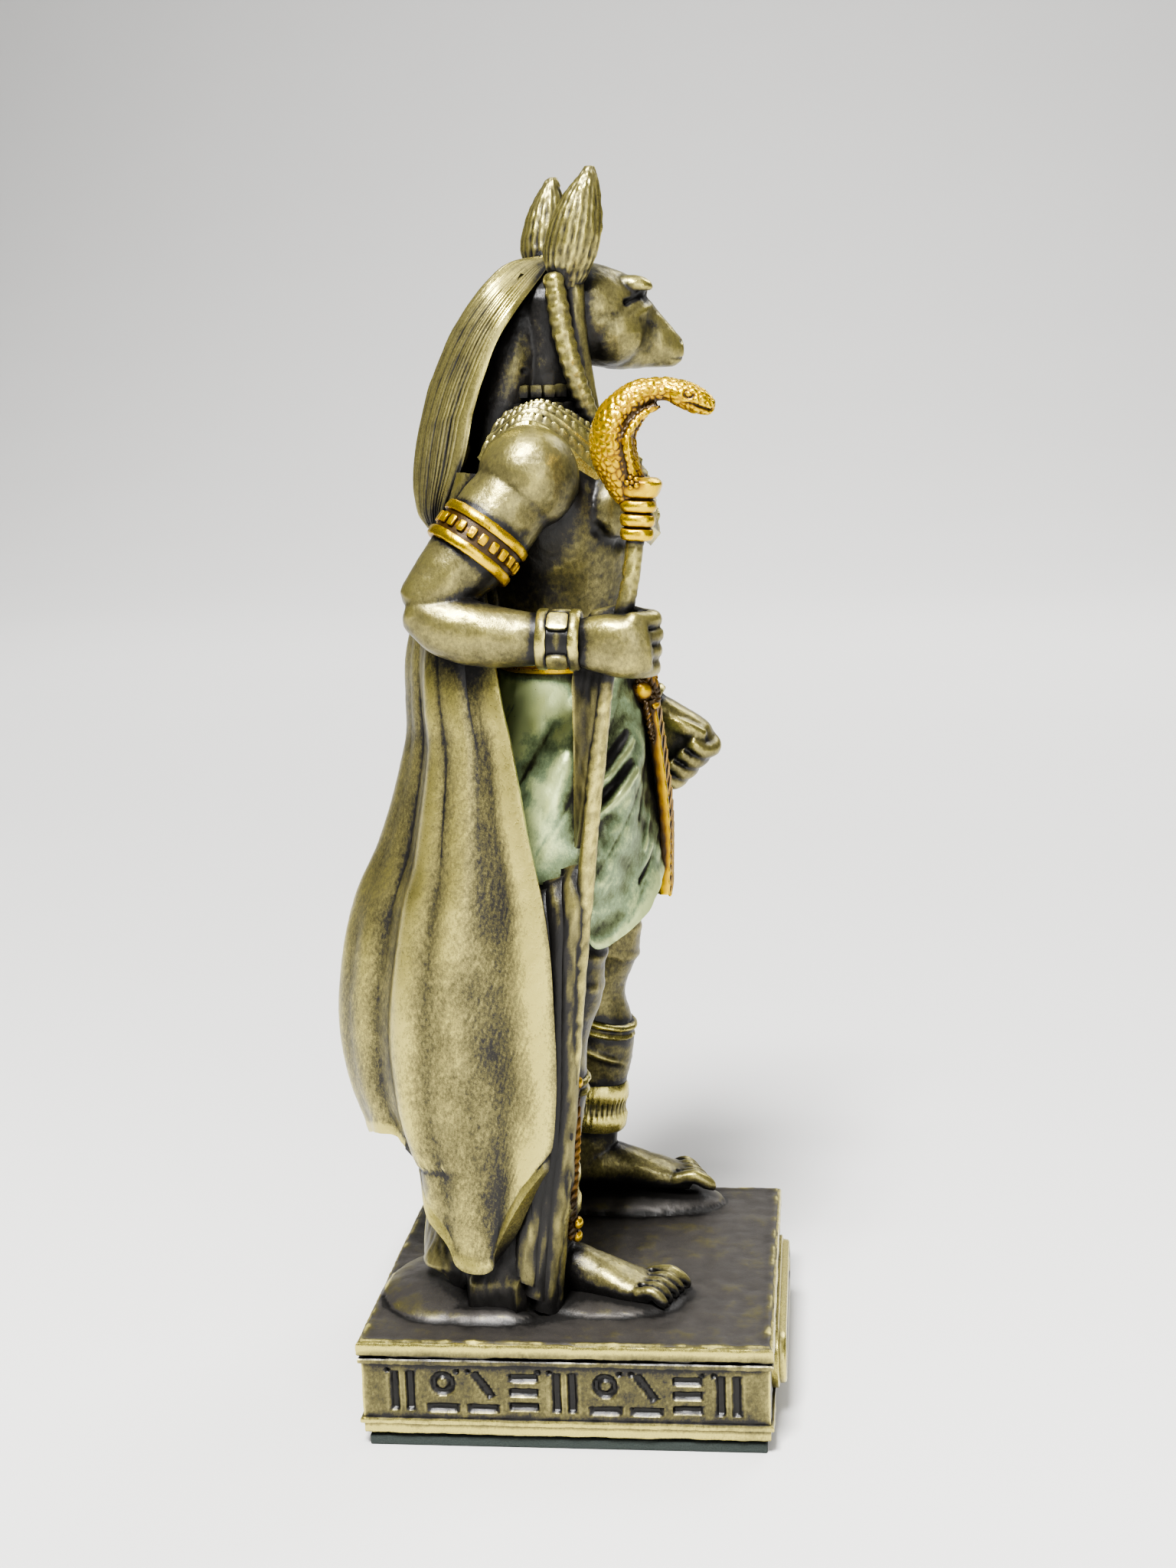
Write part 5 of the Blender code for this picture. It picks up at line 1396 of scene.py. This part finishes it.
def worn_and_shaded_finish(name, stops, base_wear_and_shade, metal, gloss, grain_share=0.45):
    """Cast finish that is dark in the hollows and rubbed bright where it stands proud, with painted shade
    where rays are blocked and a painted top light on upward faces.
    """
    finish = Finish(name)
    grain = finish.noise(finish.stretched((1.0, 1.0, 0.7)), GRAIN_SCALE, 3.0, 0.65)
    speck = finish.noise(finish.place(), SPECK_SCALE, 2.0)
    blotch = finish.noise(finish.place(), BLOTCH_SCALE, 2.0)
    # Real wear from relief and grain, plus painted shade and top light from the ray mark and the base
    # level.
    wear_and_shade = ((finish.mark("relief") - 0.5) * RELIEF_SHARE + (finish.mark("openness") - OPEN_LEVEL)
            * OPEN_SHARE
            + (grain - 0.5) * grain_share + (speck - 0.5) * grain_share * 0.6 + (blotch - 0.5) * 0.6
            + base_wear_and_shade).held()
    colour = finish.node("ShaderNodeValToRGB", {"stops": stops}, {"Fac": wear_and_shade})
    finish.set(Base_Color=colour, Metallic=(wear_and_shade * metal + 0.35).held(),
               Roughness=(gloss + (grain - 0.5) * 0.25 - wear_and_shade * 0.12).held(),
               Normal=finish.bump(grain * 0.7 + speck * 0.3, 0.4, 0.00006))
    return finish.material


def shades(*names):
    """Chosen colours as arrays."""
    return [np.array(getattr(colours(), name)[:]) for name in names]


def bronze_finish(name):
    patina, bronze, brass = shades("patina", "bronze", "brass")
    stops = [(0.0, patina * 0.7), (0.2, patina * 2.0), (0.42, bronze * 0.6), (0.62, bronze * 1.3),
             (0.82, bronze * 0.8 + brass * 0.28), (1.0, brass * 0.7)]
    return worn_and_shaded_finish(name, stops, *BRONZES[name])


def ground_finish(name):
    patina, bronze, brass = shades("patina", "bronze", "brass")
    stops = [(0.0, patina), (0.25, patina * 4), (0.5, patina * 6), (0.75, bronze * 0.8), (1.0, brass)]
    return worn_and_shaded_finish(name, stops, 0.14, 0.4, 0.5, grain_share=0.2)


def gold_finish(name):
    gold, = shades("gold")
    # The top stop, paler and bluer than the paint, is a painted highlight on the rubbed gold.
    stops = [(0.0, gold * (0.04, 0.03, 0.05)), (0.22, gold * (0.18, 0.13, 0.1)),
             (0.48, gold * (0.42, 0.37, 0.3)),
             (0.74, gold * (0.58, 0.55, 0.4)), (1.0, gold * (0.82, 0.86, 1.6))]
    return worn_and_shaded_finish(name, stops, 0.3, 0.6, 0.4, grain_share=0.2)


def verdigris_finish(name):
    patina, green, brass = shades("patina", "verdigris", "brass")
    # The top stop is rubbed brass through the green paint, tinted paler and bluer as a painted highlight.
    stops = [(0.0, patina), (0.22, green * (0.16, 0.14, 0.11)), (0.42, green * (0.5, 0.46, 0.4)),
             (0.68, green),
             (1.0, green * 0.8 + brass * (0.5, 0.62, 0.8))]
    return worn_and_shaded_finish(name, stops, 0.22, 0.3, 0.45)


def felt_finish(name):
    finish = Finish(name, Roughness=0.95)
    felt = tuple(colours().felt)
    fibre = finish.noise(finish.place(), 9000.0, 3.0)
    shade = finish.mix(fibre, (*felt, 1.0), (*(value * 3 for value in felt), 1.0))
    finish.set(Base_Color=shade, Normal=finish.bump(fibre, 0.8, 0.0001))
    return finish.material


def floor_finish(name):
    finish = Finish(name, Roughness=0.7)
    floor = tuple(colours().floor)
    tone = finish.noise(finish.place(), 12.0, 2.0)
    finish.set(Base_Color=finish.mix(tone, (*(value * 0.97 for value in floor), 1.0), (*floor, 1.0)))
    return finish.material


# Base wear and shade, metal, roughness and share of the grain; a higher base is a painted light and a lower
# one a painted shade on the same bronze
BRONZES = {"antique_bronze": (0.25, 0.6, 0.4, 0.45), "bright_bronze": (0.5, 0.6, 0.38, 0.45),
           "dim_bronze": (0.12, 0.6, 0.4, 0.45), "cloth_bronze": (0.2, 0.6, 0.42, 0.9),
           "deep_bronze": (0.1, 0.5, 0.4, 0.3)}
FINISHES = {**dict.fromkeys(BRONZES, bronze_finish), "gold_paint": gold_finish,
            "verdigris": verdigris_finish,
            "dark_ground": ground_finish, "felt": felt_finish, "floor": floor_finish}


def finish_named(name):
    made = bpy.data.materials.get("look_" + name)
    if made is None:
        made = FINISHES[name](name)
        made.name = "look_" + name
    return made


# Stage

FLOOR_SIZE = 3.0
BACKDROP_HEIGHT = 2.0
BACKDROP_BEND = 0.9
SKY_COLOUR = (0.92, 0.95, 1.0, 1.0)
SKY_STRENGTH = 0.08
FIGURE_MIDDLE = (0, 0, 0.05)
# Name, place, target, size in metres and power in watts
LIGHTS = (("key", (-0.26, 0.04, 0.46), FIGURE_MIDDLE, 0.12, 8.0),
          ("fill", (-0.4, -0.2, 0.15), FIGURE_MIDDLE, 0.25, 0.8),
          ("rim", (0.35, -0.25, 0.45), FIGURE_MIDDLE, 0.25, 1.4),
          ("top", (0.0, 0.0, 0.6), FIGURE_MIDDLE, 0.3, 0.8),
          ("backdrop", (0.5, 0.0, 0.6), (1.2, 0, 0.1), 0.6, 8.0))
CAMERA_PLACE = (-0.155465, -0.019654, 0.077732)
CAMERA_ANGLES = (6.63, 10.91, -2.0)
CAMERA_LENS = 47.46
SENSOR_WIDTH = 36.0
NEAREST_SEEN = 0.01


def make_stage():
    """Pale floor, soft studio lights and the camera."""
    bpy.context.scene.view_settings.view_transform = "AgX"
    bpy.context.scene.view_settings.look = "AgX - Medium High Contrast"
    bpy.ops.object.select_all(action="DESELECT")
    bpy.ops.mesh.primitive_plane_add(size=FLOOR_SIZE)
    floor = bpy.context.object
    floor.name = "floor"
    bpy.ops.object.mode_set(mode="EDIT")
    bpy.ops.mesh.select_all(action="DESELECT")
    bpy.ops.object.mode_set(mode="OBJECT")
    for edge in floor.data.edges:
        edge.select = all(floor.data.vertices[k].co.x > 1 for k in edge.vertices)
    bpy.ops.object.mode_set(mode="EDIT")
    bpy.ops.mesh.extrude_region_move(TRANSFORM_OT_translate={"value": (0, 0, BACKDROP_HEIGHT)})
    bpy.ops.object.mode_set(mode="OBJECT")
    bend = floor.modifiers.new("bend", "BEVEL")
    bend.width = BACKDROP_BEND
    bend.segments = 16
    bpy.ops.object.modifier_apply(modifier=bend.name)
    bpy.ops.object.shade_smooth()
    floor.data.materials.append(finish_named("floor"))
    world = bpy.data.worlds.new("studio")
    bpy.context.scene.world = world
    world.use_nodes = True
    sky = world.node_tree.nodes["Background"]
    sky.inputs["Color"].default_value = SKY_COLOUR
    sky.inputs["Strength"].default_value = SKY_STRENGTH
    for name, place, target, size, power in LIGHTS:
        bpy.ops.object.light_add(type="AREA", location=place)
        light = bpy.context.object
        light.name = name
        light.data.size = size
        light.data.energy = power
        light.rotation_euler = (Vector(target) - Vector(place)).to_track_quat("-Z", "Y").to_euler()
    bpy.ops.object.camera_add()
    camera = bpy.context.object
    camera.name = "camera"
    camera.data.lens = CAMERA_LENS
    camera.data.sensor_width = SENSOR_WIDTH
    camera.data.clip_start = NEAREST_SEEN
    yaw, pitch, roll = (math.radians(angle) for angle in CAMERA_ANGLES)
    ahead = Vector((math.cos(pitch) * math.cos(yaw), math.cos(pitch) * math.sin(yaw), -math.sin(pitch)))
    right = Vector((math.sin(yaw), -math.cos(yaw), 0))
    over = right.cross(ahead)
    rolled = math.cos(roll) * right + math.sin(roll) * over
    upright = math.cos(roll) * over - math.sin(roll) * right
    basis = Matrix((rolled, upright, -ahead)).transposed()
    camera.matrix_world = Matrix.Translation(CAMERA_PLACE) @ basis.to_4x4()
    bpy.context.scene.camera = camera


class PieceOperator(bpy.types.Operator):
    """Base of the operators that build some pieces"""

    bl_options = {"REGISTER", "UNDO"}
    steps = ()

    def execute(self, context):
        for step in self.steps:
            step()
        return {"FINISHED"}


class FIGURINE_OT_head(PieceOperator):
    """Sculpt the jackal's head and its ears"""

    bl_idname = "figurine.head"
    bl_label = "Head and ears"
    steps = (make_head, make_ears)


class FIGURINE_OT_wig(PieceOperator):
    """Comb the wig and its front locks"""

    bl_idname = "figurine.wig"
    bl_label = "Wig"
    steps = (make_wig, make_lappets)


class FIGURINE_OT_collar(PieceOperator):
    """Lay the broad beaded collar"""

    bl_idname = "figurine.collar"
    bl_label = "Collar"
    steps = (make_collar,)


class FIGURINE_OT_body(PieceOperator):
    """Sculpt the torso and both arms"""

    bl_idname = "figurine.body"
    bl_label = "Torso and arms"
    steps = (make_body, make_right_arm, make_left_arm)


class FIGURINE_OT_legs(PieceOperator):
    """Sculpt the legs and clawed feet"""

    bl_idname = "figurine.legs"
    bl_label = "Legs and feet"
    steps = (make_legs,)


class FIGURINE_OT_kilt(PieceOperator):
    """Fold the kilt"""

    bl_idname = "figurine.kilt"
    bl_label = "Kilt"
    steps = (make_kilt,)


class FIGURINE_OT_belt(PieceOperator):
    """Tie the belt and hang the braided sash"""

    bl_idname = "figurine.belt"
    bl_label = "Belt and sash"
    steps = (make_belt, make_sash)


class FIGURINE_OT_cape(PieceOperator):
    """Drape the cape and the cloth beside the staff"""

    bl_idname = "figurine.cape"
    bl_label = "Cape"
    steps = (make_cape, make_side_cloth)


class FIGURINE_OT_staff(PieceOperator):
    """Set up the staff and its serpent"""

    bl_idname = "figurine.staff"
    bl_label = "Staff and serpent"
    steps = (make_staff, make_serpent)


class FIGURINE_OT_bands(PieceOperator):
    """Put on the armbands, cuffs and anklets"""

    bl_idname = "figurine.bands"
    bl_label = "Bands"
    steps = (make_bands,)


class FIGURINE_OT_plinth(PieceOperator):
    """Carve the plinth, its ground and plaque, and lay the felt"""

    bl_idname = "figurine.plinth"
    bl_label = "Plinth and felt"
    steps = (make_plinth, make_ground, make_plaque, make_felt)


class FIGURINE_OT_weathering_and_shade(bpy.types.Operator):
    """Mark hollows and high places for the patina, and for painted shade and a painted top light, and hold
    the pieces in the solids' box
    """

    bl_idname = "figurine.weathering"
    bl_label = "Weathering"

    def execute(self, context):
        pieces = figurine_pieces()
        for piece in pieces:
            keep_in_box(piece)
            mark_relief(piece)
        mark_patina_shade_and_top_light(pieces)
        return {"FINISHED"}


class FIGURINE_OT_stage(PieceOperator):
    """Lay the floor and place the lights and camera"""

    bl_idname = "figurine.stage"
    bl_label = "Stage"
    steps = (make_stage,)


OPERATORS = (FIGURINE_OT_head, FIGURINE_OT_wig, FIGURINE_OT_collar, FIGURINE_OT_body, FIGURINE_OT_legs,
             FIGURINE_OT_kilt, FIGURINE_OT_belt, FIGURINE_OT_cape, FIGURINE_OT_staff, FIGURINE_OT_bands,
             FIGURINE_OT_plinth, FIGURINE_OT_weathering_and_shade, FIGURINE_OT_stage)


class FIGURINE_PT_panel(bpy.types.Panel):
    """Sidebar panel with the sizes, colours and operators."""

    bl_label = "Figurine"
    bl_idname = "FIGURINE_PT_panel"
    bl_space_type = "VIEW_3D"
    bl_region_type = "UI"
    bl_category = "Figurine"

    def draw(self, context):
        for group in (context.scene.figurine_sizes, context.scene.figurine_colours):
            for name in group.bl_rna.properties.keys():
                if name not in ("rna_type", "name"):
                    self.layout.prop(group, name)
        for operator in OPERATORS:
            self.layout.operator(operator.bl_idname)


CLASSES = (FigurineSizes, FigurineColours, *OPERATORS, FIGURINE_PT_panel)


def register():
    for item in CLASSES:
        bpy.utils.register_class(item)
    bpy.types.Scene.figurine_sizes = bpy.props.PointerProperty(type=FigurineSizes)
    bpy.types.Scene.figurine_colours = bpy.props.PointerProperty(type=FigurineColours)


def unregister():
    del bpy.types.Scene.figurine_colours
    del bpy.types.Scene.figurine_sizes
    for item in reversed(CLASSES):
        bpy.utils.unregister_class(item)


def main():
    register()
    for operator in OPERATORS:
        group, name = operator.bl_idname.split(".")
        getattr(getattr(bpy.ops, group), name)()


if __name__ == "__main__":
    main()
